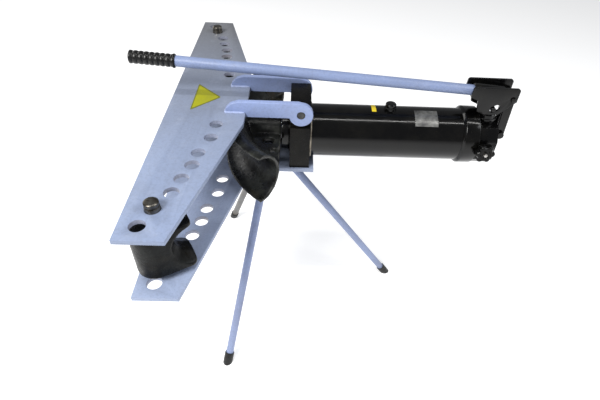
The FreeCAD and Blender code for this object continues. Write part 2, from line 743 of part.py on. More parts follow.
def make_pump():
    """Barrel, plunger, valve parts and the release valve with its star knob."""
    axis_x = along_x(S["pump_axis_x"])
    well_floor = AXIS_Z + 18.0
    barrel_top = TOP - 14.0
    gap = S["running_clearance"]
    plunger = S["plunger_radius"]
    outer = S["barrel_radius"]
    length = barrel_top - well_floor
    hex_low = AXIS_Z + 46.0 - well_floor
    profile = [(0, plunger + gap), (0, outer - 1.0), (1.0, outer), (hex_low, outer),
               (hex_low, outer + 2.5), (hex_low + 12.0, outer + 2.5), (hex_low + 12.0, outer),
               (length - 2.0, outer), (length, outer - 2.0), (length, plunger + 3.0),
               (length - 6.0, plunger + 3.0), (length - 6.0, plunger + gap)]
    turned("pump_barrel", profile, axis_x, 0, well_floor, TOWARDS_Z)
    ring("plunger_wiper", plunger + gap, plunger + 3.0, 6.0, axis_x, 0, barrel_top - 6.0, TOWARDS_Z)

    pin_height = TOP + S["plunger_pin_rise"]
    stem_length = pin_height - well_floor - 6.0
    body = new_body("pump_plunger")
    section = new_sketch(body, "XZ_Plane")
    eye_half = 8.0
    eye_radius = 10.5
    draw_polygon(section, [(0, -stem_length), (plunger - 1.0, -stem_length), (plunger, -stem_length + 1.0),
                           (plunger, -2.0), (0, -2.0)])
    spin = body.newObject("PartDesign::Revolution", "Stem")
    spin.Profile = section
    spin.ReferenceAxis = (section, ["V_Axis"])
    spin.Angle = 360
    DOC.recompute()
    head = new_sketch(body, "XZ_Plane")
    draw_circle(head, 0, 0, eye_radius)
    pad(body, head, eye_half * 2)
    eye = new_sketch(body, "XZ_Plane")
    draw_circle(eye, 0, 0, S["lever_pin_radius"])
    cut_through(body, eye)
    place(body, axis_x, 0, pin_height)
    rod("plunger_pin", S["lever_pin_radius"], LEVER_PIN_HALF * 2, axis_x, -LEVER_PIN_HALF, pin_height,
        TOWARDS_Y)

    turned("check_ball", [(0, 0), (1.2, 3.3), (4.5, 4.8), (7.8, 3.3), (9.0, 0)], axis_x, 0,
           AXIS_Z - 24.0, TOWARDS_Z)
    ring("check_spring", 2.6, 4.6, 17.0, axis_x, 0, AXIS_Z - 14.0, TOWARDS_Z)
    rod("relief_screw", 5.8, 14.0, axis_x, 0, AXIS_Z + 3.5, TOWARDS_Z)

    knob_x = along_x(682.0)
    spindle = [(0, 0), (0, 2.0), (6.0, 7.9), (26.0, 7.9), (26.0, 5.0), (60.0, 5.0), (60.0, 0)]
    turned("release_spindle", spindle, knob_x, -34.0, AXIS_Z, TOWARDS_NEAR)
    make_star_knob(knob_x)
    turned("knob_screw", [(0, 0), (0, 5.0), (3.5, 4.2), (5.0, 0)], knob_x, -94.0, AXIS_Z, TOWARDS_NEAR)


def make_star_knob(knob_x):
    """Six-lobed grip knob on the release spindle."""
    thickness = 20.0
    lobe_circle, lobe_radius, lobes = 20.5, 7.5, 6
    body = new_body("release_knob")
    core = new_sketch(body, "XZ_Plane")
    draw_circle(core, 0, 0, 21.0)
    pad(body, core, thickness)
    lobe = new_sketch(body, "XZ_Plane")
    draw_circle(lobe, lobe_circle, 0, lobe_radius)
    lobe_pad = pad(body, lobe, thickness)
    pattern = body.newObject("PartDesign::PolarPattern", "Lobes")
    pattern.Originals = [lobe_pad]
    pattern.Axis = (lobe, ["N_Axis"])
    pattern.Angle = 360
    pattern.Occurrences = lobes
    body.Tip = pattern
    DOC.recompute()
    bore = new_sketch(body, "XZ_Plane")
    draw_circle(bore, 0, 0, 5.0)
    cut_through(body, bore)
    place(body, knob_x, -84.0, AXIS_Z)


def make_filler():
    """Oil filler plug with a domed head on a sealing ring on top of the tube."""
    skin = AXIS_Z + S["tube_radius"]
    x = along_x(S["filler_x"])
    ring("filler_boss", 9.0, 15.0, 10.5, x, 0, skin - 6.0, TOWARDS_Z)
    ring("filler_seal", 9.0, 13.0, 2.0, x, 0, skin + 4.5, TOWARDS_Z)
    plug = [(0, 0), (0, 8.8), (9.0, 8.8), (9.0, 13.5), (16.0, 13.5), (18.0, 11.5), (18.0, 0)]
    turned("filler_plug", plug, x, 0, skin - 2.2, TOWARDS_Z)


# ---------------------------------------------------------------- lever and handle

def make_links():
    """Two link plates from the pump block's lug up to the lever's fulcrum pin."""
    lean_x = S["fulcrum_x"] - S["link_foot_x"]
    rise = S["fulcrum_rise"] + S["link_foot_drop"]
    thickness = 8.0
    half_width = 10.5
    for side, sign in SIDES.items():
        body = new_body(f"fulcrum_link_{side}")
        strip = new_sketch(body, "XZ_Plane")
        draw_polygon(strip, [(-half_width, 0), (half_width, 0), (lean_x + half_width, rise),
                             (lean_x - half_width, rise)])
        pad(body, strip, thickness)
        for x, z in ((0, 0), (lean_x, rise)):
            end = new_sketch(body, "XZ_Plane")
            draw_circle(end, x, z, half_width)
            pad(body, end, thickness)
        eyes = new_sketch(body, "XZ_Plane")
        draw_circle(eyes, 0, 0, S["lever_pin_radius"])
        draw_circle(eyes, lean_x, rise, S["lever_pin_radius"] + S["running_clearance"])
        cut_through(body, eyes)
        place(body, along_x(S["link_foot_x"]), 12.3 * sign, TOP - S["link_foot_drop"])
    profile = [(0, 0), (0, 9.0), (6.0, 9.5), (6.0, S["lever_pin_radius"]), (40.0, S["lever_pin_radius"]),
               (40.0, 9.5), (47.0, 9.0), (47.0, 0)]
    turned("link_bolt", profile, along_x(S["link_foot_x"]), -23.0, TOP - S["link_foot_drop"], TOWARDS_Y)


def make_lever():
    """Two cheek plates with slotted eyes, joined by the handle socket and the fulcrum pin."""
    x0 = S["fulcrum_x"]
    z0 = S["fulcrum_rise"]
    pin_x = S["pump_axis_x"] - x0
    pin_z = S["plunger_pin_rise"] - z0
    slot_radius = S["lever_pin_radius"] + 1.9
    arm = math.atan2(pin_z.value, pin_x.value)
    short, long = 40.5, 49.5
    outline = [(-104.0, 3.0), (-102.0, 29.0), (10.0, 28.5), (10.0, -6.0), (2.0, -13.0),
               (-26.0, -41.0), (-62.0, -41.0), (-80.0, -33.0), (-84.0, -5.0)]
    for side, sign in SIDES.items():
        body = new_body(f"lever_cheek_{side}")
        sketch = new_sketch(body, "XZ_Plane")
        draw_polygon(sketch, outline)
        pad(body, sketch, S["cheek_thickness"])
        round_edges(body, 6.5, lambda edge, middle: abs(middle.y) < 1e-6 and middle.z > 25
                    and abs(middle.x + 46.0) > 50)
        eyes = new_sketch(body, "XZ_Plane")
        draw_circle(eyes, 0, 0, S["lever_pin_radius"])
        cut_through(body, eyes)
        slot = new_sketch(body, "XZ_Plane")
        across = slot_radius.value
        side_x, side_z = -math.sin(arm) * across, math.cos(arm) * across
        ends = [(math.cos(arm) * reach, math.sin(arm) * reach) for reach in (short, long)]
        draw_polygon(slot, [(ends[0][0] + side_x, ends[0][1] + side_z),
                            (ends[1][0] + side_x, ends[1][1] + side_z),
                            (ends[1][0] - side_x, ends[1][1] - side_z),
                            (ends[0][0] - side_x, ends[0][1] - side_z)])
        cut_through(body, slot)
        for end_x, end_z in ends:
            rounding = new_sketch(body, "XZ_Plane")
            draw_circle(rounding, end_x, end_z, slot_radius)
            cut_through(body, rounding)
        middle_y = (S["cheek_inner_y"] + S["cheek_thickness"] / 2) * sign
        place(body, along_x(x0), middle_y, TOP + z0)
    rod("fulcrum_pin", S["lever_pin_radius"], LEVER_PIN_HALF * 2, along_x(x0), -LEVER_PIN_HALF, TOP + z0,
        TOWARDS_Y)


def make_handle():
    """Socket tube between the cheeks, the long handle tube and its ribbed grip."""
    slope = math.radians(S["handle_slope"].value)
    backwards = FreeCAD.Rotation(FreeCAD.Vector(1, 0, 0),
                                 FreeCAD.Vector(-math.cos(slope), 0, math.sin(slope)))
    radius = S["handle_radius"]

    def on_line(reach):
        """A place on the handle's line, measured like the other X places."""
        z = TOP + 42.0 + (642.0 - reach) * math.tan(slope)
        return along_x(reach), 0, z

    wall = 3.2
    bore = radius + 0.1
    length = 74.0
    socket = ring("handle_socket", bore, 16.9, length, *on_line(714.0), backwards)
    lug_width, lug_start, lug_height = S["cheek_inner_y"] * 2 - 0.2, 7.0, 20.0
    lugs = socket.newObject("PartDesign::AdditiveBox", "Lugs")
    lugs.Length = length - lug_start * 2
    lugs.setExpression("Width", lug_width.text)
    lugs.Height = lug_height
    lugs.Placement = FreeCAD.Placement(FreeCAD.Vector(lug_start, -lug_width.value / 2, -lug_height / 2),
                                       FreeCAD.Rotation())
    DOC.recompute()
    rebore = socket.newObject("PartDesign::SubtractiveCylinder", "Rebore")
    rebore.setExpression("Radius", bore.text)
    rebore.Height = length
    rebore.Placement = FreeCAD.Placement(FreeCAD.Vector(0, 0, 0),
                                         FreeCAD.Rotation(FreeCAD.Vector(0, 1, 0), 90))
    DOC.recompute()
    ring("handle_tube", radius - wall, radius, 882.0, *on_line(712.0), backwards)
    ribs, pitch, root, crest = 8, 11.6, 13.4, 15.0
    profile = [(0, radius), (0, 16.6), (6.0, 16.6), (6.0, root)]
    for index in range(ribs):
        start = 7.0 + index * pitch
        profile += [(start, root), (start + 3.0, crest), (start + pitch - 4.0, crest),
                    (start + pitch - 1.0, root)]
    end = 7.0 + ribs * pitch
    profile += [(end, root), (end, crest - 0.6), (end + 6.0, crest - 0.6), (end + 9.0, root - 3.0),
                (end + 9.0, 0), (end + 5.0, 0), (end + 5.0, radius)]
    turned("handle_grip", profile, *on_line(-67.5), backwards)


# ---------------------------------------------------------------- tripod

# Leg tops under the lower plate: (name, reach, Y, direction of the foot in degrees)
LEGS = [("near", 137.0, -80.0, 240.0), ("far", 137.0, 80.0, 120.0), ("rear", 180.0, 0.0, 0.0)]


def make_tripod():
    """Three screw-in legs: a threaded socket under the plate, a tube and a rubber cap each."""
    centre = FreeCAD.Vector(along_x(S["tripod_centre_x"]).value, 0, 0)
    sockets = []
    for name, reach, y, heading in LEGS:
        turn = math.radians(heading + S["tripod_turn"].value)
        circle = S["foot_circle_radius"].value
        foot = centre + FreeCAD.Vector(circle * math.cos(turn), circle * math.sin(turn), 0)
        top = FreeCAD.Vector(along_x(reach).value, y, LOWER_UNDERSIDE.value)
        direction = (foot - top).normalize()
        down = FreeCAD.Rotation(FreeCAD.Vector(1, 0, 0), direction)
        whole = (foot - top).Length
        radius = S["leg_radius"]

        keep = Part.makeBox(4000, 4000, LOWER_UNDERSIDE.value, FreeCAD.Vector(-2000, -2000, 0))
        socket_tube = Part.makeCylinder(15.5, 62.0, top - direction * 20, direction)
        socket_bore = Part.makeCylinder(radius.value, 80.0, top - direction * 25, direction)
        sockets.append(socket_tube.cut(socket_bore).common(keep).Solids[0])

        ring(f"leg_{name}", radius - S["leg_wall"], radius, whole - 22.0 - 11.0,
             as_size(top.x + direction.x * 11.0), as_size(top.y + direction.y * 11.0),
             as_size(top.z + direction.z * 11.0), down)
        cap = Part.makeCylinder(13.2, 60.0, foot - direction * 34, direction)
        cap_bore = Part.makeCylinder(radius.value, 23.0, foot - direction * 45, direction)
        add_shape(f"foot_cap_{name}", cap.cut(cap_bore).common(keep).Solids[0])
    add_shape("leg_sockets", Part.makeCompound(sockets))


def add_shape(label, shape):
    """A node whose shape is worked out with Part's own functions."""
    piece = DOC.addObject("Part::Feature", label)
    piece.Label = label
    piece.Shape = shape
    NODES[label] = piece


# ---------------------------------------------------------------- build and export

def check_document():
    """Stop on any failed object or bad node shape."""
    DOC.recompute()
    for item in DOC.Objects:
        if "Invalid" in item.State or "Error" in item.State:
            raise RuntimeError(f"{item.Label} failed: {item.State}")
    for label, node in NODES.items():
        if node.Shape.isNull() or not node.Shape.isValid():
            raise RuntimeError(f"{label} has a bad shape")


def export_nodes():
    """Write one STEP file for each node."""
    os.makedirs("parts", exist_ok=True)
    for label, node in NODES.items():
        node.Shape.exportStep(f"parts/{label}.step")


def main():
    """Build every sub-part, check it and write it."""
    for make in (make_plates, make_hinge_arms, make_warning_label, make_head_block, make_block_screws,
                 make_cylinder, make_ram, make_labels, make_former, make_supports, make_pump_block,
                 make_pump, make_filler, make_links, make_lever, make_handle, make_tripod):
        make()
    check_document()
    export_nodes()
    box = FreeCAD.BoundBox()
    for label, node in NODES.items():
        box.add(node.Shape.BoundBox)
    print(len(NODES), "nodes; box", box)


main()
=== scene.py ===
"""Looks of a hydraulic pipe bender: painted wing plates, black cylinder, castings and tripod."""
import logging
import math
from dataclasses import dataclass
from enum import Enum

import bmesh
import bpy
from mathutils import Matrix, Vector


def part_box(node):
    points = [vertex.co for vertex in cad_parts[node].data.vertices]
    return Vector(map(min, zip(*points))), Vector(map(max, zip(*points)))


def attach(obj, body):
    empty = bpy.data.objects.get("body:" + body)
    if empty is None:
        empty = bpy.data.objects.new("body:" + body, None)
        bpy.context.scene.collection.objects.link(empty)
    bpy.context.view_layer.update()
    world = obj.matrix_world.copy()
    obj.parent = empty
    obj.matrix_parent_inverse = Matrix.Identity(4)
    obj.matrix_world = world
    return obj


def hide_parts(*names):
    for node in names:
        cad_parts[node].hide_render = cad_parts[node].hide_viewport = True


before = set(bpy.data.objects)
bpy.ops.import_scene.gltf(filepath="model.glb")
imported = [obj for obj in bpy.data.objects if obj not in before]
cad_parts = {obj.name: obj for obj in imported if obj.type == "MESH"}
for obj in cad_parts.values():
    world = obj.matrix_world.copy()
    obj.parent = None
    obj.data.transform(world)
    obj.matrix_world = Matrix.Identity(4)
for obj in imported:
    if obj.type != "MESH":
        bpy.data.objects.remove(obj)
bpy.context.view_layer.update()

LOG = logging.getLogger("pipe_bender")
MM = 0.001
RGB = tuple[float, float, float]
Socket = bpy.types.NodeSocket
SHARP_ANGLE = math.radians(32.0)
WEAR = "worn"  # attribute of a casting's skin, 1 on its proud edges
HALF_SPAN = 0.45  # paint fades from its near to its far colour over twice this length of the wings


class Body(str, Enum):
    """The bodies that pieces ride on."""

    BASE = "base"
    TOP_FRAME = "top_frame"
    RAM_GROUP = "ram_group"
    LEVER = "lever"
    PLUNGER = "plunger"
    RELEASE = "release_valve"
    SHOE_NEAR = "shoe_near"
    SHOE_FAR = "shoe_far"
    FILLER = "filler"


class Slot(str, Enum):
    """The record's material slots."""

    FRAME_PAINT = "frame_paint"
    BLACK_GLOSS = "black_gloss"
    BLACK_CASTING = "black_casting"
    STEEL = "steel"
    DARK_STEEL = "dark_steel"
    RUBBER = "rubber"
    LABEL = "label"


# ---------------------------------------------------------------- finishes

class Tree:
    """A node tree, grown one node at a time."""

    def __init__(self, tree: bpy.types.NodeTree) -> None:
        """Take the tree to grow."""
        self.tree = tree

    def node(self, kind: str, inputs: dict[str | int, object] | None = None, out: str | int = 0,
             **settings: object) -> Socket:
        """Add a node, set or link its inputs, and give one of its outputs.

        Args:
            kind: The node's type.
            inputs: Input names or numbers, with values or sockets.
            out: Name or number of the output.
            settings: The node's own settings.

        Returns:
            The output socket.
        """
        made = self.tree.nodes.new(kind)
        for name, value in settings.items():
            setattr(made, name, value)
        for name, value in (inputs or {}).items():
            if isinstance(value, Socket):
                self.tree.links.new(value, made.inputs[name])
            else:
                made.inputs[name].default_value = value
        return made.outputs[out]

    def math(self, operation: str, first: Socket | float, second: Socket | float = 0.0) -> Socket:
        """One sum.

        Args:
            operation: The operation's name.
            first: First number or socket.
            second: Second number or socket.

        Returns:
            The result socket.
        """
        return self.node("ShaderNodeMath", {0: first, 1: second}, operation=operation)


class Shader(Tree):
    """A material's node tree on Object coordinates."""

    def __init__(self, name: str) -> None:
        """Start a material with the plain surface shader.

        Args:
            name: Name of the material.
        """
        self.material = bpy.data.materials.new(name)
        self.material.use_nodes = True
        super().__init__(self.material.node_tree)
        self.surface = self.tree.nodes["Principled BSDF"]
        self.object_place = self.node("ShaderNodeTexCoord", out="Object")

    def fix(self, **values: float) -> None:
        """Set sockets of the surface that are the same all over.

        Args:
            values: Socket names with underscores for spaces, and their values.
        """
        for name, value in values.items():
            self.surface.inputs[name.replace("_", " ")].default_value = value

    def join(self, source: Socket, name: str) -> None:
        """Link a result to a named socket of the surface."""
        self.tree.links.new(source, self.surface.inputs[name])

    def stretched(self, scale: RGB, turn: RGB = (0.0, 0.0, 0.0)) -> Socket:
        """Object coordinates, turned and stretched.

        Args:
            scale: Factor along each axis.
            turn: Rotation in degrees about each axis.

        Returns:
            The vector socket.
        """
        rotation = [math.radians(angle) for angle in turn]
        return self.node("ShaderNodeMapping", {"Vector": self.object_place, "Scale": scale,
                                               "Rotation": rotation})

    def noise(self, scale: float, detail: float = 4.0, roughness: float = 0.55,
              place: Socket | None = None) -> Socket:
        """Soft fractal noise.

        Args:
            scale: Features per metre.
            detail: Number of finer layers.
            roughness: Weight of the finer layers.
            place: Coordinates, or None for the object's own.

        Returns:
            A value socket between 0 and 1.
        """
        return self.node("ShaderNodeTexNoise", {"Vector": place or self.object_place, "Scale": scale,
                                                "Detail": detail, "Roughness": roughness}, out="Fac")

    def along(self, axis: str, low: float, high: float) -> Socket:
        """0 to 1 between two places along an axis.

        Args:
            axis: X, Y or Z.
            low: Place that gives 0.
            high: Place that gives 1.

        Returns:
            The value socket.
        """
        place = self.node("ShaderNodeSeparateXYZ", {"Vector": self.object_place}, out=axis)
        return self.spread(place, 0.0, 1.0, low, high)

    def spread(self, value: Socket, to_low: float, to_high: float, low: float = 0.3,
               high: float = 0.7) -> Socket:
        """Stretch a value to a new range, held at its ends.

        Args:
            value: The value socket.
            to_low: Result at low and below.
            to_high: Result at high and above.
            low: Start of the source range.
            high: End of the source range.

        Returns:
            The stretched value socket.
        """
        return self.node("ShaderNodeMapRange", {"Value": value, "From Min": low, "From Max": high,
                                                "To Min": to_low, "To Max": to_high})

    def stored(self, name: str) -> Socket:
        """A value stored on the mesh's points.

        Args:
            name: Name of the attribute.

        Returns:
            The value socket.
        """
        return self.node("ShaderNodeAttribute", out="Fac", attribute_name=name)

    def mixed(self, factor: Socket, first: RGB | Socket, second: RGB | Socket) -> Socket:
        """A colour between two.

        Args:
            factor: 0 gives the first colour and 1 the second.
            first: A colour or a colour socket.
            second: A colour or a colour socket.

        Returns:
            The colour socket.
        """
        ends = [(*colour, 1.0) if isinstance(colour, tuple) else colour for colour in (first, second)]
        return self.node("ShaderNodeMix", {0: factor, 6: ends[0], 7: ends[1]}, out=2, data_type="RGBA")

    def bumped(self, height: Socket, strength: float, depth: float,
               under: Socket | None = None) -> Socket:
        """A surface relief from a height.

        Args:
            height: The height socket, between 0 and 1.
            strength: How much of the relief shows.
            depth: Height of the relief in metres.
            under: A coarser relief that this one lies on.

        Returns:
            The normal socket.
        """
        inputs = {"Strength": strength, "Distance": depth, "Height": height}
        if under is not None:
            inputs["Normal"] = under
        return self.node("ShaderNodeBump", inputs)


@dataclass(frozen=True)
class FramePaint:
    """Semi-gloss periwinkle paint on rolled plate, a little greyer towards the far wing."""

    name: str
    near: RGB
    far: RGB
    soiled: RGB
    soiling: float = 0.35

    def material(self) -> bpy.types.Material:
        """The painted finish.

        Returns:
            The material.
        """
        shader = Shader(self.name)
        base = shader.mixed(shader.along("Y", -HALF_SPAN, HALF_SPAN), self.near, self.far)
        cloud = shader.spread(shader.noise(7.0, 5.0, 0.62), 0.0, self.soiling, 0.42, 0.72)
        base = shader.mixed(cloud, base, self.soiled)
        rub = shader.noise(34.0, 6.0, 0.7)
        base = shader.mixed(shader.spread(rub, 0.0, 0.12, 0.54, 0.74), base, (0.50, 0.54, 0.66))
        grain = shader.noise(190.0, 4.0, 0.7)
        base = shader.mixed(shader.spread(grain, 0.0, 0.22, 0.46, 0.70), base, (0.11, 0.11, 0.12))
        specks = shader.noise(260.0, 2.0)
        base = shader.mixed(shader.spread(specks, 0.0, 0.5, 0.74, 0.79), base, (0.07, 0.06, 0.06))
        shader.join(base, "Base Color")
        shader.join(shader.spread(shader.noise(24.0, 5.0), 0.34, 0.50), "Roughness")
        rolled = shader.bumped(shader.noise(30.0, 3.0), 0.12, 0.0005)
        peel = shader.bumped(shader.noise(330.0, 2.0), 0.16, 0.0003, rolled)
        shader.join(peel, "Normal")
        shader.fix(Specular_IOR_Level=0.35)
        return shader.material


@dataclass(frozen=True)
class BlackEnamel:
    """Thick glossy black paint with faint runs and dust."""

    name: str
    deep: RGB = (0.0012, 0.0012, 0.0013)
    dusty: RGB = (0.006, 0.0055, 0.0045)
    smooth: float = 0.10
    rough: float = 0.20
    shine: float = 0.28

    def material(self) -> bpy.types.Material:
        """The enamelled finish.

        Returns:
            The material.
        """
        shader = Shader(self.name)
        dust = shader.spread(shader.noise(18.0, 6.0, 0.65), 0.0, 0.8, 0.45, 0.75)
        base = shader.mixed(dust, self.deep, self.dusty)
        fleck = shader.spread(shader.noise(420.0, 1.0), 0.0, 0.6, 0.77, 0.82)
        shader.join(shader.mixed(fleck, base, (0.06, 0.055, 0.04)), "Base Color")
        shader.join(shader.spread(shader.noise(40.0, 4.0), self.smooth, self.rough), "Roughness")
        lengthwise = shader.stretched((0.35, 1.0, 1.0))
        runs = shader.bumped(shader.noise(14.0, 2.0, 0.4, lengthwise), 0.35, 0.0008)
        shader.join(shader.bumped(shader.noise(300.0, 2.0), 0.06, 0.0003, runs), "Normal")
        shader.fix(Specular_IOR_Level=self.shine, Coat_Weight=0.06, Coat_Roughness=0.05)
        return shader.material


@dataclass(frozen=True)
class BlackCasting:
    """Painted sand casting with grey-green dust and brown storage marks."""

    name: str
    deep: RGB = (0.0035, 0.0035, 0.0035)
    dust: RGB = (0.030, 0.032, 0.027)
    brown: RGB = (0.024, 0.018, 0.010)
    grain: float = 150.0
    shine: float = 0.22
    rubbed: RGB = (0.10, 0.10, 0.095)

    def material(self) -> bpy.types.Material:
        """The cast finish, rubbed lighter where the skin's worn attribute is high.

        Returns:
            The material.
        """
        shader = Shader(self.name)
        patch = shader.spread(shader.noise(15.0, 6.0, 0.68), 0.0, 0.9, 0.47, 0.66)
        base = shader.mixed(patch, self.deep, self.dust)
        tilted = shader.stretched((1.0, 1.0, 1.0), (40.0, 20.0, 0.0))
        stain = shader.spread(shader.noise(22.0, 5.0, 0.6, tilted), 0.0, 0.75, 0.56, 0.72)
        base = shader.mixed(stain, base, self.brown)
        scratch = shader.noise(90.0, 5.0, 0.7, shader.stretched((1.0, 0.12, 0.5), (15.0, 0.0, 35.0)))
        base = shader.mixed(shader.spread(scratch, 0.0, 0.5, 0.66, 0.76), base, (0.09, 0.09, 0.08))
        worn = shader.math("MULTIPLY", shader.stored(WEAR), shader.noise(70.0, 4.0))
        base = shader.mixed(shader.spread(worn, 0.0, 0.5, 0.34, 0.62), base, self.rubbed)
        shader.join(base, "Base Color")
        shader.join(shader.spread(shader.noise(40.0, 5.0), 0.20, 0.40), "Roughness")
        pits = shader.bumped(shader.noise(self.grain, 5.0, 0.7), 0.5, 0.0012)
        shader.join(shader.bumped(shader.noise(36.0, 2.0), 0.4, 0.002, pits), "Normal")
        shader.fix(Specular_IOR_Level=self.shine)
        return shader.material


@dataclass(frozen=True)
class BareMetal:
    """Turned, ground, plated or oil-blackened metal with fine tool marks."""

    name: str
    bright: RGB
    dull: RGB
    smooth: float
    rough: float
    marks: RGB = (1.0, 1.0, 12.0)
    metallic: float = 1.0

    def material(self) -> bpy.types.Material:
        """The metal finish.

        Returns:
            The material.
        """
        shader = Shader(self.name)
        cloud = shader.spread(shader.noise(48.0, 5.0, 0.65), 0.0, 1.0, 0.38, 0.66)
        line = shader.noise(70.0, 5.0, 0.75, shader.stretched(self.marks))
        base = shader.mixed(cloud, self.bright, self.dull)
        base = shader.mixed(shader.spread(line, 0.0, 0.3, 0.5, 0.7), base, self.dull)
        shader.join(base, "Base Color")
        shader.join(shader.spread(line, self.smooth, self.rough), "Roughness")
        shader.join(shader.bumped(line, 0.12, 0.0003), "Normal")
        shader.fix(Metallic=self.metallic)
        return shader.material


@dataclass(frozen=True)
class MouldedRubber:
    """Black moulded rubber or plastic, with faint dusty patches."""

    name: str
    deep: RGB = (0.007, 0.007, 0.007)
    dusty: RGB = (0.030, 0.029, 0.027)
    smooth: float = 0.42
    rough: float = 0.62
    shine: float = 0.4

    def material(self) -> bpy.types.Material:
        """The rubber finish.

        Returns:
            The material.
        """
        shader = Shader(self.name)
        dust = shader.spread(shader.noise(60.0, 5.0, 0.6), 0.0, 0.7, 0.45, 0.72)
        shader.join(shader.mixed(dust, self.deep, self.dusty), "Base Color")
        shader.join(shader.spread(shader.noise(80.0, 4.0), self.smooth, self.rough), "Roughness")
        shader.join(shader.bumped(shader.noise(700.0, 3.0), 0.10, 0.0003), "Normal")
        shader.fix(Specular_IOR_Level=self.shine)
        return shader.material


@dataclass(frozen=True)
class PrintedFoil:
    """A printed sticker: even colour with rubbed and soiled places."""

    name: str
    ink: RGB
    rubbed: RGB

    def material(self) -> bpy.types.Material:
        """The sticker finish.

        Returns:
            The material.
        """
        shader = Shader(self.name)
        worn = shader.spread(shader.noise(26.0, 6.0, 0.7), 0.0, 0.65, 0.5, 0.75)
        shader.join(shader.mixed(worn, self.ink, self.rubbed), "Base Color")
        shader.join(shader.spread(shader.noise(45.0, 3.0), 0.32, 0.5), "Roughness")
        shader.join(shader.bumped(shader.noise(160.0, 2.0), 0.1, 0.0002), "Normal")
        return shader.material


@dataclass(frozen=True)
class StudioFloor:
    """Pale seamless paper."""

    name: str = "pale_floor"
    tone: float = 0.88
    glow: float = 0.40

    def material(self) -> bpy.types.Material:
        """The floor's finish.

        Returns:
            The material.
        """
        shader = Shader(self.name)
        light = (self.tone,) * 3
        dark = (self.tone * 0.985,) * 3
        shader.join(shader.mixed(shader.noise(2.5, 3.0), light, dark), "Base Color")
        shader.fix(Roughness=0.9, Specular_IOR_Level=0.1, Emission_Strength=self.glow)
        shader.surface.inputs["Emission Color"].default_value = (1.0, 1.0, 1.0, 1.0)
        return shader.material


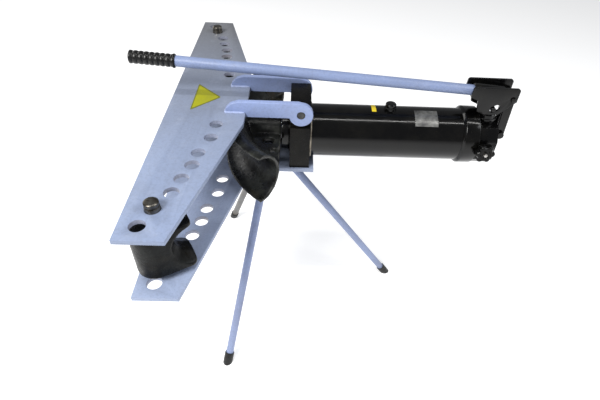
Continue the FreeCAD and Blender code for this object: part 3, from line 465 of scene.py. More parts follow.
class Finishes:
    """Every finish of the bender, made once and shared by its pieces."""

    def __init__(self) -> None:
        """Make the materials."""
        self.paint = FramePaint("arm_paint_blue", (0.30, 0.385, 0.655), (0.25, 0.31, 0.51),
                                (0.19, 0.21, 0.31)).material()
        # The two wing plates share one paint: the upper plate's darker copy is painted shade, and the
        # lower plate's lighter copy is painted light in the shade under the upper plate.
        self.upper_shaded_paint = FramePaint("upper_plate_paint_shaded", (0.262, 0.325, 0.485), (0.168, 0.174, 0.190),
                                      (0.17, 0.185, 0.225)).material()
        self.lower_lit_paint = FramePaint("lower_plate_paint_lit", (0.32, 0.385, 0.545), (0.24, 0.27, 0.36),
                                      (0.20, 0.22, 0.30)).material()
        self.leg_paint = FramePaint("leg_paint_blue", (0.29, 0.36, 0.58), (0.24, 0.29, 0.45),
                                    (0.16, 0.16, 0.22), 0.45).material()
        # Painted shade: the far leg gets a darker, grey-brown copy of the leg paint for the shade it
        # stands in.
        self.far_leg_painted_shade = FramePaint("far_leg_painted_shade", (0.17, 0.175, 0.20), (0.125, 0.12, 0.11),
                                        (0.13, 0.10, 0.07), 0.6).material()
        self.bore_wall = FramePaint("pin_hole_wall", (0.27, 0.31, 0.44), (0.19, 0.20, 0.25),
                                    (0.15, 0.12, 0.10), 0.6).material()
        self.handle_paint = FramePaint("handle_paint_blue", (0.215, 0.275, 0.455), (0.205, 0.26, 0.43),
                                       (0.15, 0.17, 0.24)).material()
        # Painted highlight: the arm weld beads get a lighter, less soiled copy of the frame paint that
        # stands in for the highlights on them.
        self.weld = FramePaint("weld_paint_painted_highlight", (0.40, 0.48, 0.74), (0.32, 0.37, 0.52),
                               (0.24, 0.27, 0.38), 0.25).material()
        self.enamel = BlackEnamel("cylinder_black_enamel").material()
        self.block_black = BlackEnamel("block_black_enamel", (0.0022, 0.0021, 0.002),
                                       (0.010, 0.009, 0.007), 0.20, 0.36, 0.10).material()
        self.pump_black = BlackEnamel("pump_black_enamel", (0.0016, 0.0016, 0.0018),
                                      (0.008, 0.0075, 0.006), 0.12, 0.26, 0.26).material()
        self.block_weld = BareMetal("block_weld_metal", (0.30, 0.27, 0.22), (0.12, 0.10, 0.08),
                                    0.30, 0.5, (1.0, 6.0, 6.0)).material()
        self.casting = BlackCasting("former_casting").material()
        self.shoe_casting = BlackCasting(
            "shoe_casting", (0.0022, 0.0023, 0.0024), (0.013, 0.0145, 0.014),
            (0.010, 0.008, 0.005), 190.0, 0.11, (0.03, 0.03, 0.028)).material()
        self.pin_steel = BareMetal("pin_dark_steel", (0.20, 0.19, 0.17), (0.075, 0.066, 0.052),
                                   0.22, 0.42, (1.0, 1.0, 14.0)).material()
        self.hinge_steel = BareMetal("hinge_pin_steel", (0.085, 0.085, 0.085), (0.03, 0.029, 0.027),
                                     0.28, 0.46).material()
        self.steel = BareMetal("zinc_steel", (0.55, 0.54, 0.52), (0.38, 0.36, 0.33),
                               0.2, 0.38).material()
        self.chrome = BareMetal("ground_chrome", (0.62, 0.63, 0.65), (0.50, 0.51, 0.53),
                                0.06, 0.16, (14.0, 1.0, 1.0)).material()
        self.bronze = BareMetal("gland_bronze", (0.55, 0.36, 0.15), (0.36, 0.22, 0.09),
                                0.2, 0.4).material()
        self.black_screw = BareMetal("black_screw_steel", (0.035, 0.035, 0.035), (0.018, 0.017, 0.016),
                                     0.3, 0.5).material()
        self.plate_metal = BareMetal("name_plate_foil", (0.24, 0.24, 0.23), (0.07, 0.07, 0.07),
                                     0.25, 0.45, (0.4, 9.0, 9.0), 0.7).material()
        self.rubber = MouldedRubber("moulded_rubber").material()
        self.grip_rubber = MouldedRubber("grip_rubber", (0.004, 0.004, 0.004), (0.014, 0.0135, 0.013),
                                         0.26, 0.40, 0.35).material()
        self.knob_plastic = MouldedRubber("knob_plastic", (0.002, 0.002, 0.002), (0.008, 0.0075, 0.007),
                                          0.14, 0.28, 0.16).material()
        self.seal = MouldedRubber("seal_rubber", (0.010, 0.010, 0.010)).material()
        self.hazard_yellow = PrintedFoil("hazard_yellow", (0.33, 0.33, 0.004),
                                         (0.24, 0.24, 0.02)).material()
        self.hazard_border = PrintedFoil("hazard_border", (0.15, 0.155, 0.008),
                                         (0.20, 0.20, 0.02)).material()
        self.mark_yellow = PrintedFoil("mark_yellow", (0.66, 0.50, 0.02), (0.45, 0.34, 0.03)).material()
        self.floor = StudioFloor().material()


# ---------------------------------------------------------------- shop tools

def finished(name: str, mesh: bpy.types.Mesh, body: Body, slot: Slot, *nodes: str) -> bpy.types.Object:
    """Stand a finished mesh in the scene and ride it on its body.

    Args:
        name: Name of the piece.
        mesh: The piece's mesh, with its place in it.
        body: The body that it moves with.
        slot: The record's material slot; not used.
        nodes: CAD nodes that it stands for.

    Returns:
        The piece.
    """
    mesh.name = name
    piece = bpy.data.objects.new(name, mesh)
    bpy.context.scene.collection.objects.link(piece)
    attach(piece, body.value)
    if nodes:
        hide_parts(*nodes)
    LOG.info("%s: %d faces, rides on %s", name, len(mesh.polygons), body.value)
    return piece


def shaded(mesh: bpy.types.Mesh, *materials: bpy.types.Material) -> bpy.types.Mesh:
    """Smooth a mesh up to its sharp edges and give it materials.

    Args:
        mesh: The mesh.
        materials: Its materials, in the order of the faces' indices.

    Returns:
        The same mesh.
    """
    mesh.shade_smooth()
    mesh.set_sharp_from_angle(angle=SHARP_ANGLE)
    for material in materials:
        mesh.materials.append(material)
    return mesh


def through_modifiers(mesh: bpy.types.Mesh, *steps: tuple[str, dict]) -> bpy.types.Mesh:
    """Run a mesh through modifiers and return the plain result.

    Args:
        mesh: The starting mesh.
        steps: Modifier types with their settings.

    Returns:
        A new mesh with no modifiers.
    """
    bench = bpy.data.objects.new("bench", mesh)
    bpy.context.scene.collection.objects.link(bench)
    for kind, settings in steps:
        modifier = bench.modifiers.new(kind.lower(), kind)
        for name, value in settings.items():
            setattr(modifier, name, value)
    graph = bpy.context.evaluated_depsgraph_get()
    result = bpy.data.meshes.new_from_object(bench.evaluated_get(graph))
    bpy.data.objects.remove(bench)
    return result


def merged_copy(*nodes: str) -> bpy.types.Mesh:
    """A copy of CAD nodes with doubled corners merged and flat faces joined.

    Args:
        nodes: The CAD nodes.

    Returns:
        A clean mesh in the same place.
    """
    work = bmesh.new()
    for node in nodes:
        work.from_mesh(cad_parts[node].data)
    bmesh.ops.remove_doubles(work, verts=work.verts, dist=2e-6)
    bmesh.ops.dissolve_limit(work, angle_limit=math.radians(0.7), verts=work.verts, edges=work.edges)
    mesh = bpy.data.meshes.new("copy")
    work.to_mesh(mesh)
    work.free()
    return mesh


def eased(width: float, *nodes: str, segments: int = 2) -> bpy.types.Mesh:
    """A copy of CAD nodes with every sharp edge eased by a small round.

    Args:
        width: Width of the round in metres.
        nodes: The CAD nodes.
        segments: Facets across the round.

    Returns:
        The eased mesh.
    """
    bevel = {"width": width, "segments": segments, "limit_method": "ANGLE",
             "angle_limit": SHARP_ANGLE, "use_clamp_overlap": True}
    return through_modifiers(merged_copy(*nodes), ("BEVEL", bevel))


def finish_eased(name: str, node: str, width: float, material: bpy.types.Material, body: Body,
                 slot: Slot, segments: int = 2) -> None:
    """Ease a node's edges, give it one finish and stand it in the scene.

    Args:
        name: Name of the piece.
        node: The CAD node.
        width: Width of the round in metres.
        material: Its finish.
        body: The body that it moves with.
        slot: The record's material slot.
        segments: Facets across the round.
    """
    mesh = shaded(eased(width, node, segments=segments), material)
    finished(name, mesh, body, slot, node)


def skin_rings(work: bmesh.types.BMesh, rings: list[list[bmesh.types.BMVert]]) -> None:
    """Join rings of points with faces; a ring of one point is a pole.

    Args:
        work: The mesh being made.
        rings: The rings in order, all of one count apart from poles.
    """
    for lower, upper in zip(rings, rings[1:]):
        count = max(len(lower), len(upper))
        for step in range(count):
            following = (step + 1) % count
            if len(lower) == 1:
                work.faces.new((lower[0], upper[step], upper[following]))
            elif len(upper) == 1:
                work.faces.new((lower[step], upper[0], lower[following]))
            else:
                work.faces.new((lower[step], upper[step], upper[following], lower[following]))


def chain_mesh(chains: list[list[Vector]]) -> bpy.types.Mesh:
    """Open lines of points, as bare edges for a Geometry Nodes tree to follow.

    Args:
        chains: Chains of points in metres.

    Returns:
        The mesh.
    """
    mesh = bpy.data.meshes.new("chains")
    points: list[Vector] = []
    edges: list[tuple[int, int]] = []
    for chain in chains:
        first = len(points)
        points.extend(chain)
        edges.extend((first + step, first + step + 1) for step in range(len(chain) - 1))
    mesh.from_pydata(points, edges, [])
    return mesh


class Recipe(Tree):
    """A Geometry Nodes tree with named inputs, run once on a mesh."""

    def __init__(self, name: str) -> None:
        """Start a tree that takes and gives geometry.

        Args:
            name: Name of the tree.
        """
        super().__init__(bpy.data.node_groups.new(name, "GeometryNodeTree"))
        for way in ("INPUT", "OUTPUT"):
            self.tree.interface.new_socket("Geometry", in_out=way, socket_type="NodeSocketGeometry")
        self.source = self.tree.nodes.new("NodeGroupInput")
        self.sink = self.tree.nodes.new("NodeGroupOutput")

    @property
    def geometry(self) -> Socket:
        """The geometry that the tree is given."""
        return self.source.outputs["Geometry"]

    def size(self, name: str, value: float) -> Socket:
        """Add a named number to the tree's inputs.

        Args:
            name: Name of the input.
            value: Its default.

        Returns:
            The socket that carries it.
        """
        socket = self.tree.interface.new_socket(name, in_out="INPUT", socket_type="NodeSocketFloat")
        socket.default_value = value
        return self.source.outputs[name]

    def close(self, result: Socket, material: bpy.types.Material) -> None:
        """End the tree in Realize Instances and Set Material.

        Args:
            result: The geometry made.
            material: The material of all of it.
        """
        real = self.node("GeometryNodeRealizeInstances", {"Geometry": result})
        dressed = self.node("GeometryNodeSetMaterial", {"Geometry": real, "Material": material})
        self.tree.links.new(dressed, self.sink.inputs["Geometry"])

    def run(self, mesh: bpy.types.Mesh, sizes: dict[str, float]) -> bpy.types.Mesh:
        """Run the tree on a mesh and return the plain result.

        Args:
            mesh: The mesh that the tree is given.
            sizes: Values for the named inputs.

        Returns:
            A plain mesh.
        """
        bench = bpy.data.objects.new("bench", mesh)
        bpy.context.scene.collection.objects.link(bench)
        modifier = bench.modifiers.new("recipe", "NODES")
        modifier.node_group = self.tree
        identifiers = {item.name: item.identifier for item in self.tree.interface.items_tree
                       if item.item_type == "SOCKET" and item.in_out == "INPUT"}
        for name, value in sizes.items():
            modifier[identifiers[name]] = value
        graph = bpy.context.evaluated_depsgraph_get()
        result = bpy.data.meshes.new_from_object(bench.evaluated_get(graph))
        bench.modifiers.remove(modifier)
        bpy.data.objects.remove(bench)
        return result


def bead_recipe(material: bpy.types.Material, seed: float) -> Recipe:
    """A tree that lays a rippled weld bead along each chain of edges.

    Args:
        material: The finish to set.
        seed: Seed of the unevenness.

    Returns:
        The tree.
    """
    recipe = Recipe("weld_bead")
    radius = recipe.size("Bead Radius", 2.6 * MM)
    pitch = recipe.size("Ripple Pitch", 3.2 * MM)
    depth = recipe.size("Ripple Depth", 0.16)
    wander = recipe.size("Wander", 0.30)
    curve = recipe.node("GeometryNodeMeshToCurve", {"Mesh": recipe.geometry})
    curve = recipe.node("GeometryNodeResampleCurve", {"Curve": curve, "Length": 0.8 * MM},
                        mode="LENGTH")
    reach = recipe.node("GeometryNodeSplineParameter", out="Length")
    share = recipe.node("GeometryNodeSplineParameter", out="Factor")
    wave = recipe.math("SINE", recipe.math("MULTIPLY", recipe.math("DIVIDE", reach, pitch), 2 * math.pi))
    noise = recipe.node("ShaderNodeTexNoise", {"Scale": 160.0, "Detail": 2.0, "W": seed}, out=0,
                        noise_dimensions="4D")
    uneven = recipe.math("MULTIPLY", recipe.math("SUBTRACT", noise, 0.5), wander)
    factor = recipe.math("ADD", recipe.math("MULTIPLY", wave, depth), recipe.math("ADD", uneven, 1.0))
    from_ends = recipe.math("MINIMUM", share, recipe.math("SUBTRACT", 1.0, share))
    rising = recipe.math("MULTIPLY", from_ends, recipe.size("End Steepness", 14.0))
    taper = recipe.math("POWER", recipe.math("MINIMUM", rising, 1.0), 0.5)
    taper = recipe.math("MAXIMUM", taper, recipe.size("End Share", 0.15))
    scale = recipe.math("MULTIPLY", factor, taper)
    ring = recipe.node("GeometryNodeCurvePrimitiveCircle", {"Resolution": 12, "Radius": radius})
    tube = recipe.node("GeometryNodeCurveToMesh", {"Curve": curve, "Profile Curve": ring, "Scale": scale,
                                                   "Fill Caps": True})
    smooth = recipe.node("GeometryNodeSetShadeSmooth", {"Geometry": tube})
    recipe.close(smooth, material)
    return recipe


def grip_recipe(material: bpy.types.Material) -> Recipe:
    """A tree that turns one edge into a ribbed hand grip with rounded ends, with a plain collar.

    Args:
        material: The finish to set.

    Returns:
        The tree.
    """
    recipe = Recipe("ribbed_grip")
    core = recipe.size("Core Radius", 13.1 * MM)
    rise = recipe.size("Rib Rise", 2.1 * MM)
    ribs = recipe.size("Rib Count", 9.0)
    curve = recipe.node("GeometryNodeMeshToCurve", {"Mesh": recipe.geometry})
    curve = recipe.node("GeometryNodeResampleCurve", {"Curve": curve, "Length": 0.55 * MM},
                        mode="LENGTH")
    share = recipe.node("GeometryNodeSplineParameter", out="Factor")
    phase = recipe.math("MULTIPLY", recipe.math("MULTIPLY", share, ribs), math.pi)
    humps = recipe.math("ABSOLUTE", recipe.math("SINE", phase))
    swell = recipe.math("POWER", humps, recipe.size("Rib Fullness", 0.7))
    on_collar = recipe.math("GREATER_THAN", share, recipe.size("Collar Start", 0.945))
    collar = recipe.math("MULTIPLY", on_collar, recipe.size("Collar Rise", 1.2 * MM))
    radius = recipe.math("ADD", recipe.math("ADD", core, collar), recipe.math("MULTIPLY", swell, rise))
    steep = recipe.size("Nose Steepness", 26.0)
    start = recipe.math("MINIMUM", recipe.math("MULTIPLY", share, steep), 1.0)
    end = recipe.math("MINIMUM", recipe.math("MULTIPLY", recipe.math("SUBTRACT", 1.0, share), 60.0), 1.0)
    rounding = recipe.math("POWER", recipe.math("MULTIPLY", start, end), 0.4)
    scale = recipe.math("MULTIPLY", radius, recipe.math("MAXIMUM", rounding, 0.3))
    ring = recipe.node("GeometryNodeCurvePrimitiveCircle", {"Resolution": 48, "Radius": 1.0})
    tube = recipe.node("GeometryNodeCurveToMesh", {"Curve": curve, "Profile Curve": ring, "Scale": scale,
                                                   "Fill Caps": True})
    recipe.close(recipe.node("GeometryNodeSetShadeSmooth", {"Geometry": tube}), material)
    return recipe


def screw_recipe(material: bpy.types.Material) -> Recipe:
    """A tree that stands a hexagon-head screw with a washer face, head down, on each point.

    Args:
        material: The finish to set.

    Returns:
        The tree.
    """
    recipe = Recipe("hexagon_screws")
    head = recipe.size("Head Radius", 10.0 * MM)
    height = recipe.size("Head Height", 8.0 * MM)
    shank = recipe.size("Shank Radius", 6.1 * MM)
    length = recipe.size("Shank Length", 46.0 * MM)
    bodies = []
    raised = recipe.math("ADD", height, 1.0 * MM)
    for sides, radius, depth, low in (
            (6, head, height, recipe.math("MULTIPLY", height, -0.5)),
            (32, recipe.math("MULTIPLY", head, 0.97), 1.0 * MM, -0.5 * MM),
            (32, shank, length, recipe.math("MULTIPLY", length, 0.5)),
            (6, recipe.math("MULTIPLY", head, 0.9), raised, recipe.math("MULTIPLY", raised, -0.5))):
        part = recipe.node("GeometryNodeMeshCylinder", {"Vertices": sides, "Radius": radius,
                                                        "Depth": depth})
        shift = recipe.node("ShaderNodeCombineXYZ", {"Z": low})
        bodies.append(recipe.node("GeometryNodeTransform", {"Geometry": part, "Translation": shift}))
    joined = recipe.tree.nodes.new("GeometryNodeJoinGeometry")
    for part in bodies:
        recipe.tree.links.new(part, joined.inputs[0])
    points = recipe.node("GeometryNodeMeshToPoints", {"Mesh": recipe.geometry})
    placed = recipe.node("GeometryNodeInstanceOnPoints", {"Points": points,
                                                          "Instance": joined.outputs[0]})
    recipe.close(placed, material)
    return recipe


def coil_recipe(material: bpy.types.Material) -> Recipe:
    """A tree that winds a wire spring along +X from the single point it is given.

    Args:
        material: The finish to set.

    Returns:
        The tree.
    """
    recipe = Recipe("coil_spring")
    turns = recipe.size("Turns", 60.0)
    mean = recipe.size("Mean Radius", 15.0 * MM)
    wire = recipe.size("Wire Radius", 1.6 * MM)
    length = recipe.size("Length", 0.4)
    coil = recipe.node("GeometryNodeCurveSpiral", {"Resolution": 24, "Rotations": turns,
                                                   "Start Radius": mean, "End Radius": mean,
                                                   "Height": length})
    laid = recipe.node("GeometryNodeTransform", {"Geometry": coil, "Rotation": (0.0, math.pi / 2, 0.0)})
    ring = recipe.node("GeometryNodeCurvePrimitiveCircle", {"Resolution": 8, "Radius": wire})
    tube = recipe.node("GeometryNodeCurveToMesh", {"Curve": laid, "Profile Curve": ring,
                                                   "Fill Caps": True})
    points = recipe.node("GeometryNodeMeshToPoints", {"Mesh": recipe.geometry})
    placed = recipe.node("GeometryNodeInstanceOnPoints", {"Points": points, "Instance": tube})
    recipe.close(recipe.node("GeometryNodeSetShadeSmooth", {"Geometry": placed}), material)
    return recipe


def casting_recipe(material: bpy.types.Material) -> Recipe:
    """A tree that softens a casting's edges, gives it a sand-cast grain and stores its wear.

    Args:
        material: The finish to set.

    Returns:
        The tree.
    """
    recipe = Recipe("sand_cast_skin")
    grain = recipe.size("Grain Height", 0.5 * MM)
    pitch = recipe.size("Grain Scale", 60.0)
    place = recipe.node("GeometryNodeInputPosition")
    soft = recipe.node("GeometryNodeBlurAttribute", {"Value": place, "Iterations": 5},
                       data_type="FLOAT_VECTOR")
    skin = recipe.node("GeometryNodeSetPosition", {"Geometry": recipe.geometry, "Position": soft})
    noise = recipe.node("ShaderNodeTexNoise", {"Scale": pitch, "Detail": 3.0, "W": 4.0},
                        noise_dimensions="4D")
    height = recipe.math("MULTIPLY", recipe.math("SUBTRACT", noise, 0.5), grain)
    normal = recipe.node("GeometryNodeInputNormal")
    offset = recipe.node("ShaderNodeVectorMath", {"Vector": normal, "Scale": height},
                         operation="SCALE")
    rough = recipe.node("GeometryNodeSetPosition", {"Geometry": skin, "Offset": offset})
    broad = recipe.node("GeometryNodeBlurAttribute", {"Value": place, "Iterations": 14},
                        data_type="FLOAT_VECTOR")
    away = recipe.node("ShaderNodeVectorMath", {0: place, 1: broad}, operation="SUBTRACT")
    convex = recipe.node("ShaderNodeVectorMath", {0: away, 1: normal}, out="Value",
                         operation="DOT_PRODUCT")
    worn = recipe.math("MULTIPLY", convex, recipe.size("Wear", 620.0))
    worn = recipe.math("MAXIMUM", recipe.math("MINIMUM", worn, 1.0), 0.0)
    kept = recipe.node("GeometryNodeStoreNamedAttribute",
                       {"Geometry": rough, "Name": WEAR, "Value": worn},
                       data_type="FLOAT", domain="POINT")
    recipe.close(recipe.node("GeometryNodeSetShadeSmooth", {"Geometry": kept}), material)
    return recipe


def cast_skin(node: str, material: bpy.types.Material, voxel: float, grain: float) -> bpy.types.Mesh:
    """One closed skin over a CAD casting, with softened edges.

    Args:
        node: The CAD node.
        material: The casting's finish.
        voxel: Spacing of the skin's points in metres.
        grain: Height of the grain in metres.

    Returns:
        The skin as a plain mesh.
    """
    remesh = {"mode": "VOXEL", "voxel_size": voxel, "use_smooth_shade": True}
    skin = through_modifiers(merged_copy(node), ("REMESH", remesh))
    skin.materials.clear()
    return casting_recipe(material).run(skin, {"Grain Height": grain})


# ---------------------------------------------------------------- sub-assemblies

@dataclass
class TopFrame:
    """The hinged upper wing plate with its welded arms and hazard sticker."""

    finishes: Finishes
    edge_round: float = 0.9 * MM
    bead_radius: float = 3.0 * MM
    sticker_corner: float = 5.0 * MM
    border: float = 3.0 * MM

    def build(self) -> None:
        """Make the plate, the arms, their beads and the sticker."""
        # The upper plate takes the darker copy of the frame paint, which is painted shade.
        plate = wing_plate_mesh("upper_plate", self.edge_round, self.finishes.upper_shaded_paint,
                                self.finishes.bore_wall)
        finished("upper_wing", plate, Body.TOP_FRAME, Slot.FRAME_PAINT, "upper_plate")
        for side in ("near", "far"):
            finish_eased(f"welded_arm_{side}", f"hinge_arm_{side}", 1.2 * MM, self.finishes.paint,
                         Body.TOP_FRAME, Slot.FRAME_PAINT, 3)
        self.weld_arms()
        self.stick_triangle()

    def weld_arms(self) -> None:
        """Lay a bead along both foot lines of each arm and round its nose."""
        plate_low, plate_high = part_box("upper_plate")
        chains = []
        for side in ("near", "far"):
            low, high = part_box(f"hinge_arm_{side}")
            level = plate_high.z + 0.4 * MM
            rear = plate_high.x - 2.0 * MM
            nose = low.x - 0.4 * MM
            chains.append([Vector((rear, low.y, level)), Vector((nose, low.y, level)),
                           Vector((nose, high.y, level)), Vector((rear, high.y, level))])
        # The beads take the lighter copy of the frame paint, which is painted highlight.
        recipe = bead_recipe(self.finishes.weld, 1.0)
        beads = recipe.run(chain_mesh(chains), {"Bead Radius": self.bead_radius})
        finished("arm_welds", beads, Body.TOP_FRAME, Slot.FRAME_PAINT)

    def stick_triangle(self) -> None:
        """Make the plain yellow triangle with a thin darker border and rounded corners."""
        low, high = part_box("warning_label")
        corners = [Vector((low.x, low.y)), Vector((high.x, 0.0)), Vector((low.x, high.y))]
        outline = rounded_corners(corners, self.sticker_corner, 6)
        middle = sum(corners, Vector((0.0, 0.0))) / 3
        inradius = (high.x - low.x) * 0.36
        inner = [middle + (point - middle) * (1.0 - self.border / inradius) for point in outline]
        work = bmesh.new()
        levels = (low.z, high.z)
        rings = [[work.verts.new((p.x, p.y, z)) for p in outline] for z in levels]
        face_ring = [work.verts.new((p.x, p.y, high.z)) for p in inner]
        work.faces.new(rings[0])
        skin_rings(work, [*rings, face_ring])
        centre = work.faces.new(face_ring)
        bmesh.ops.recalc_face_normals(work, faces=work.faces)
        for face in work.faces:
            face.material_index = 1
        centre.material_index = 0
        mesh = bpy.data.meshes.new("sticker")
        work.to_mesh(mesh)
        work.free()
        mesh = shaded(mesh, self.finishes.hazard_yellow, self.finishes.hazard_border)
        finished("hazard_triangle", mesh, Body.TOP_FRAME, Slot.LABEL, "warning_label")


def rounded_corners(corners: list[Vector], radius: float, steps: int) -> list[Vector]:
    """Round a flat outline's corners.

    Args:
        corners: The outline's corners.
        radius: How far each corner is cut back along its sides.
        steps: Points round each corner.

    Returns:
        The rounded outline.
    """
    outline = []
    for index, corner in enumerate(corners):
        before = (corners[index - 1] - corner).normalized() * radius + corner
        after = (corners[(index + 1) % len(corners)] - corner).normalized() * radius + corner
        for step in range(steps + 1):
            share = step / steps
            rest = 1 - share
            outline.append(before * rest ** 2 + corner * 2 * share * rest + after * share ** 2)
    return outline


def wing_plate_mesh(node: str, edge_round: float, paint: bpy.types.Material,
                    bore_wall: bpy.types.Material) -> bpy.types.Mesh:
    """A wing plate with eased edges and worn walls in its pin holes.

    Args:
        node: The plate's CAD node.
        edge_round: Width of the eased edges.
        paint: Finish of its faces and edges.
        bore_wall: Finish of the walls of its pin holes.

    Returns:
        The dressed mesh.
    """
    mesh = shaded(eased(edge_round, node), paint, bore_wall)
    low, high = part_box(node)
    short_face = 12.0 * MM
    for face in mesh.polygons:
        upright = abs(face.normal.z) < 0.3
        points = [mesh.vertices[index].co for index in face.vertices]
        wide = max((points[0] - point).xy.length for point in points)
        outside = (abs(abs(face.center.y) - high.y) < MM or abs(face.center.x - low.x) < MM)
        if upright and wide < short_face and not outside:
            face.material_index = 1
    return mesh


@dataclass
class HeadAndCylinder:
    """The fixed lower plate, the head block, the oil tube and the pressure parts."""

    finishes: Finishes
    edge_round: float = 0.9 * MM
    ring_bead: float = 2.6 * MM
    spring_turns: float = 62.0

    def build(self) -> None:
        """Make the outer pieces, the tube's weld, the block's screws and the return spring."""
        # The lower plate takes the lighter copy of the frame paint, which is painted light.
        plate = wing_plate_mesh("lower_plate", self.edge_round, self.finishes.lower_lit_paint,
                                self.finishes.bore_wall)
        finished("lower_wing", plate, Body.BASE, Slot.FRAME_PAINT, "lower_plate")
        gloss, looks = Slot.BLACK_GLOSS, self.finishes
        for name, node, width, material, slot, segments in (
                ("head_block_casting", "head_block", 1.4 * MM, looks.block_black, gloss, 3),
                ("gland_collar_turned", "gland_collar", 0.8 * MM, looks.enamel, gloss, 2),
                ("rear_flange_turned", "rear_flange", 1.2 * MM, looks.enamel, gloss, 3),
                ("hinge_pins_turned", "hinge_pins", 0.5 * MM, looks.hinge_steel, Slot.DARK_STEEL, 2)):
            finish_eased(name, node, width, material, Body.BASE, slot, segments)
        self.weld_tube()
        self.screw_block()
        self.wind_spring()

    def weld_tube(self) -> None:
        """Lay the bead round the oil tube where it meets the head block."""
        low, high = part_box("weld_bead")
        centre = (low + high) / 2
        radius = (high.z - low.z) / 2 - 1.6 * MM
        steps = 72
        circle = []
        for step in range(steps + 1):
            angle = 2 * math.pi * step / steps
            circle.append(Vector((low.x + 1.2 * MM, centre.y + radius * math.sin(angle),
                                  centre.z + radius * math.cos(angle))))
        recipe = bead_recipe(self.finishes.block_weld, 7.0)
        bead = recipe.run(chain_mesh([circle]), {"Bead Radius": self.ring_bead, "Ripple Depth": 0.10})
        finished("tube_weld", bead, Body.BASE, Slot.DARK_STEEL, "weld_bead")

    def screw_block(self) -> None:
        """Stand the four screws under the lower plate."""
        low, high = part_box("block_screws")
        plate_low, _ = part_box("lower_plate")
        head = 10.0 * MM
        points = [Vector((x, y, plate_low.z)) for x in (low.x + head, high.x - head)
                  for y in (low.y + head, high.y - head)]
        mesh = bpy.data.meshes.new("screw_points")
        mesh.from_pydata(points, [], [])
        screws = screw_recipe(self.finishes.black_screw).run(mesh, {"Head Radius": head})
        finished("block_hexagon_screws", screws, Body.BASE, Slot.DARK_STEEL, "block_screws")

    def wind_spring(self) -> None:
        """Wind the return spring inside the ram."""
        low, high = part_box("return_spring")
        middle = (low + high) / 2
        mesh = bpy.data.meshes.new("spring_point")
        mesh.from_pydata([Vector((low.x, middle.y, middle.z))], [], [])
        sizes = {"Turns": self.spring_turns, "Length": high.x - low.x}
        spring = coil_recipe(self.finishes.steel).run(mesh, sizes)
        finished("return_spring_coil", spring, Body.BASE, Slot.STEEL, "return_spring")


@dataclass
class FormerAndShoes:
    """The bending former, the two support shoes and their pins."""

    finishes: Finishes
    former_voxel: float = 2.3 * MM
    shoe_voxel: float = 1.9 * MM
    former_grain: float = 1.0 * MM
    shoe_grain: float = 0.9 * MM

    def build(self) -> None:
        """Make the castings and the pins."""
        former = cast_skin("former", self.finishes.casting, self.former_voxel, self.former_grain)
        finished("former_casting", former, Body.RAM_GROUP, Slot.BLACK_CASTING, "former")
        for side, body in (("near", Body.SHOE_NEAR), ("far", Body.SHOE_FAR)):
            shoe = cast_skin(f"support_shoe_{side}", self.finishes.shoe_casting, self.shoe_voxel,
                             self.shoe_grain)
            finished(f"shoe_casting_{side}", shoe, body, Slot.BLACK_CASTING, f"support_shoe_{side}")
            finish_eased(f"standing_pin_{side}", f"support_pin_{side}", 0.5 * MM,
                         self.finishes.pin_steel, Body.BASE, Slot.DARK_STEEL)


@dataclass
class Pump:
    """The pump block, barrel, links, release knob and filler plug."""

    finishes: Finishes
    lobes: int = 6
    knob_rings: tuple[tuple[float, float], ...] = ((0.0, 0.62), (0.0, 0.86), (0.10, 0.95), (0.24, 1.0),
                                                   (0.76, 1.0), (0.90, 0.95), (1.0, 0.84), (1.0, 0.55),
                                                   (0.90, 0.48), (0.88, 0.34))
    eased_nodes: tuple[tuple[str, str, float], ...] = (
        ("pump_block_casting", "pump_block", 2.4 * MM), ("pump_barrel_turned", "pump_barrel", 0.6 * MM),
        ("link_near", "fulcrum_link_near", 0.9 * MM), ("link_far", "fulcrum_link_far", 0.9 * MM),
        ("link_foot_bolt", "link_bolt", 0.6 * MM))

    def build(self) -> None:
        """Make the pump's pieces."""
        gloss, looks = Slot.BLACK_GLOSS, self.finishes
        for name, node, width in self.eased_nodes:
            finish_eased(name, node, width, looks.pump_black, Body.BASE, gloss, 3)
        self.turn_knob()
        finish_eased("knob_centre_screw", "knob_screw", 0.4 * MM, looks.steel, Body.RELEASE, Slot.STEEL)
        finish_eased("filler_plug_moulded", "filler_plug", 0.9 * MM, looks.enamel, Body.FILLER, gloss, 3)

    def turn_knob(self) -> None:
        """Loft the star knob: soft lobes, crowned faces and a dished centre."""
        low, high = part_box("release_knob")
        centre = (low + high) / 2
        outer = (high.z - low.z) / 2
        mean, swing = outer * 0.89, outer * 0.11
        steps = 96
        work = bmesh.new()
        rings = [[work.verts.new((centre.x, high.y, centre.z))]]
        for share, scale in self.knob_rings:
            ring = []
            for step in range(steps):
                angle = 2 * math.pi * step / steps
                lobe = math.cos(self.lobes * angle)
                reach = scale * (mean + swing * math.copysign(abs(lobe) ** 0.8, lobe))
                ring.append(work.verts.new((centre.x + reach * math.cos(angle),
                                            high.y + (low.y - high.y) * share,
                                            centre.z + reach * math.sin(angle))))
            rings.append(ring)
        dish = high.y + (low.y - high.y) * self.knob_rings[-1][0]
        rings.append([work.verts.new((centre.x, dish, centre.z))])
        skin_rings(work, rings)
        bmesh.ops.recalc_face_normals(work, faces=work.faces)
        mesh = bpy.data.meshes.new("knob")
        work.to_mesh(mesh)
        work.free()
        mesh = shaded(mesh, self.finishes.knob_plastic)
        finished("star_knob", mesh, Body.RELEASE, Slot.RUBBER, "release_knob")


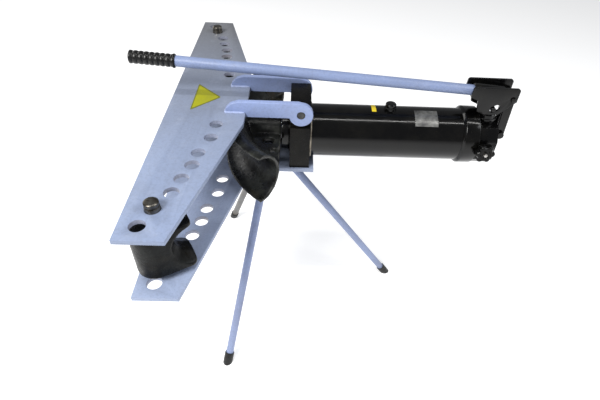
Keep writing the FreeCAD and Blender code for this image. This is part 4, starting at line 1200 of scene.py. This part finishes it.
@dataclass
class Lever:
    """The pump lever's cheeks, the handle socket, the handle and its ribbed grip."""

    finishes: Finishes
    grip_core: float = 13.1 * MM
    rib_rise: float = 2.1 * MM
    ribs: float = 9.0

    def build(self) -> None:
        """Make the lever's pieces."""
        gloss, black = Slot.BLACK_GLOSS, self.finishes.pump_black
        for side in ("near", "far"):
            finish_eased(f"cheek_{side}", f"lever_cheek_{side}", 1.3 * MM, black, Body.LEVER, gloss, 3)
        for name, node, width, body in (
                ("handle_socket_turned", "handle_socket", 0.8 * MM, Body.LEVER),
                ("fulcrum_pin_turned", "fulcrum_pin", 0.5 * MM, Body.LEVER),
                ("plunger_pin_turned", "plunger_pin", 0.5 * MM, Body.PLUNGER)):
            finish_eased(name, node, width, black, body, gloss)
        finish_eased("handle_tube_painted", "handle_tube", 0.5 * MM, self.finishes.handle_paint,
                     Body.LEVER, Slot.FRAME_PAINT)
        self.mould_grip()

    def mould_grip(self) -> None:
        """Mould the ribbed grip along the handle's own line."""
        low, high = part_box("handle_grip")
        tube_low, tube_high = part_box("handle_tube")
        tube_radius = (tube_high.y - tube_low.y) / 2
        run = tube_high.x - tube_low.x
        fall = (tube_high.z - tube_low.z) - 2 * tube_radius
        along = Vector((run, 0.0, -fall)).normalized()
        centre = (tube_low + tube_high) / 2
        collar_radius = (high.y - low.y) / 2
        reaches = (low.x + self.grip_core * abs(along.z), high.x - collar_radius * abs(along.z))
        path = chain_mesh([[centre + along * ((x - centre.x) / along.x) for x in reaches]])
        sizes = {"Core Radius": self.grip_core, "Rib Rise": self.rib_rise, "Rib Count": self.ribs}
        grip = grip_recipe(self.finishes.grip_rubber).run(path, sizes)
        finished("ribbed_grip", grip, Body.LEVER, Slot.RUBBER, "handle_grip")


@dataclass
class Tripod:
    """Three leg tubes in welded sockets, with rubber foot caps."""

    finishes: Finishes
    cap_round: float = 2.0 * MM

    def build(self) -> None:
        """Make the legs, the caps and the sockets."""
        for side in ("near", "far", "rear"):
            # The far leg takes the darker copy of the leg paint, which is painted shade.
            paint = self.finishes.far_leg_painted_shade if side == "far" else self.finishes.leg_paint
            finish_eased(f"leg_tube_{side}", f"leg_{side}", 0.4 * MM, paint, Body.BASE, Slot.FRAME_PAINT)
            finish_eased(f"rubber_foot_{side}", f"foot_cap_{side}", self.cap_round,
                         self.finishes.rubber, Body.BASE, Slot.RUBBER, 4)
        finish_eased("leg_socket_tubes", "leg_sockets", 0.8 * MM, self.finishes.paint, Body.BASE,
                     Slot.FRAME_PAINT)


@dataclass
class InnerParts:
    """Carried-over nodes that keep their CAD shape and only get a finish."""

    finishes: Finishes

    def build(self) -> None:
        """Dress every node that is still shown."""
        f = self.finishes
        dress = {
            "reservoir_tube": f.enamel, "pressure_cylinder": f.pump_black, "gland_bush": f.bronze,
            "gland_seal": f.seal, "wiper_ring": f.seal, "ram": f.chrome, "piston": f.steel,
            "piston_seal": f.seal, "spring_anchor": f.steel, "plunger_wiper": f.seal,
            "pump_plunger": f.chrome, "check_ball": f.chrome, "check_spring": f.steel,
            "relief_screw": f.black_screw, "release_spindle": f.steel, "filler_boss": f.enamel,
            "filler_seal": f.seal, "name_plate": f.plate_metal, "colour_mark": f.mark_yellow,
        }
        for node, material in dress.items():
            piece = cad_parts[node]
            if not piece.material_slots:
                piece.data.materials.append(material)
            for place in piece.material_slots:
                place.material = material
            LOG.info("%s: dressed with %s", node, material.name)


# ---------------------------------------------------------------- studio

Place = tuple[float, float, float]
MIDDLE: Place = (0.0, 0.0, 0.6)
WARM_WHITE: RGB = (1.0, 0.99, 0.97)


@dataclass(frozen=True)
class Lamp:
    """A soft rectangular light: its place, its size, its power in watts and its aim."""

    name: str
    place: Place
    size: tuple[float, float]
    power: float
    aim: Place = MIDDLE
    colour: RGB = WARM_WHITE

    def hang(self) -> None:
        """Hang the light so that it faces its aim."""
        light = bpy.data.lights.new(self.name, "AREA")
        light.shape = "RECTANGLE"
        light.size, light.size_y = self.size
        light.energy = self.power
        light.color = self.colour
        holder = bpy.data.objects.new(self.name, light)
        holder.location = self.place
        facing = Vector(self.aim) - Vector(self.place)
        holder.rotation_euler = facing.to_track_quat("-Z", "Y").to_euler()
        bpy.context.scene.collection.objects.link(holder)


LAMPS = (
    Lamp("strip_light", (0.1, -0.42, 2.5), (3.2, 0.07), 17.0, aim=(0.1, 0.0, 0.6)),
    Lamp("key_light", (-1.9, -2.3, 3.2), (1.4, 1.4), 150.0),
    Lamp("fill_light", (2.6, -0.6, 2.4), (1.6, 1.6), 40.0, colour=(0.95, 0.97, 1.0)),
    Lamp("back_light", (-2.8, 2.0, 2.2), (1.6, 1.6), 30.0),
)


@dataclass
class Studio:
    """Pale floor, soft lights and the camera."""

    finishes: Finishes
    floor_half: float = 14.0
    eye: tuple[float, float, float] = (-0.0741, -0.9969, 1.2349)
    yaw: float = 2.250
    pitch: float = 42.420
    roll: float = 3.000
    lens: float = 26.98
    shift: tuple[float, float] = (-0.0120, 0.0127)
    surround: RGB = (0.80, 0.82, 0.86)
    surround_strength: float = 0.30

    def build(self) -> None:
        """Set the stage."""
        bpy.context.scene.view_settings.view_transform = "Standard"
        self.lay_floor()
        self.hang_lights()
        self.stand_camera()

    def lay_floor(self) -> None:
        """Lay the floor under the feet."""
        half = self.floor_half
        mesh = bpy.data.meshes.new("floor")
        corners = [(-half, -half, 0.0), (half, -half, 0.0), (half, half, 0.0), (-half, half, 0.0)]
        mesh.from_pydata(corners, [], [(0, 1, 2, 3)])
        mesh.materials.append(self.finishes.floor)
        floor = bpy.data.objects.new("floor", mesh)
        bpy.context.scene.collection.objects.link(floor)

    def hang_lights(self) -> None:
        """A narrow strip overhead, a key from the front left, and soft fill and back lights."""
        for lamp in LAMPS:
            lamp.hang()
        world = bpy.data.worlds.new("surround")
        world.use_nodes = True
        sky = world.node_tree.nodes["Background"]
        sky.inputs["Color"].default_value = (*self.surround, 1.0)
        sky.inputs["Strength"].default_value = self.surround_strength
        bpy.context.scene.world = world

    def stand_camera(self) -> None:
        """Stand the camera, with its yaw, downward pitch and roll."""
        yaw, pitch, roll = (math.radians(angle) for angle in (self.yaw, self.pitch, self.roll))
        ahead = Vector((math.sin(yaw) * math.cos(pitch), math.cos(yaw) * math.cos(pitch),
                        -math.sin(pitch)))
        level = Vector((math.cos(yaw), -math.sin(yaw), 0.0))
        above = level.cross(ahead)
        right = level * math.cos(roll) + above * math.sin(roll)
        up = above * math.cos(roll) - level * math.sin(roll)
        lens = bpy.data.cameras.new("camera")
        lens.sensor_width = 36.0
        lens.lens = self.lens
        lens.shift_x, lens.shift_y = self.shift
        lens.clip_start, lens.clip_end = 0.02, 60.0
        camera = bpy.data.objects.new("camera", lens)
        turn = Matrix((right, up, -ahead)).transposed()
        camera.matrix_world = Matrix.Translation(Vector(self.eye)) @ turn.to_4x4()
        bpy.context.scene.collection.objects.link(camera)
        bpy.context.scene.camera = camera


def main() -> None:
    """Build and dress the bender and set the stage."""
    logging.basicConfig(level=logging.INFO, format="%(name)s %(message)s")
    finishes = Finishes()
    for assembly in (TopFrame(finishes), HeadAndCylinder(finishes), FormerAndShoes(finishes),
                     Pump(finishes), Lever(finishes), Tripod(finishes), InnerParts(finishes),
                     Studio(finishes)):
        LOG.info("building %s", type(assembly).__name__)
        assembly.build()


if __name__ == "__main__":
    main()
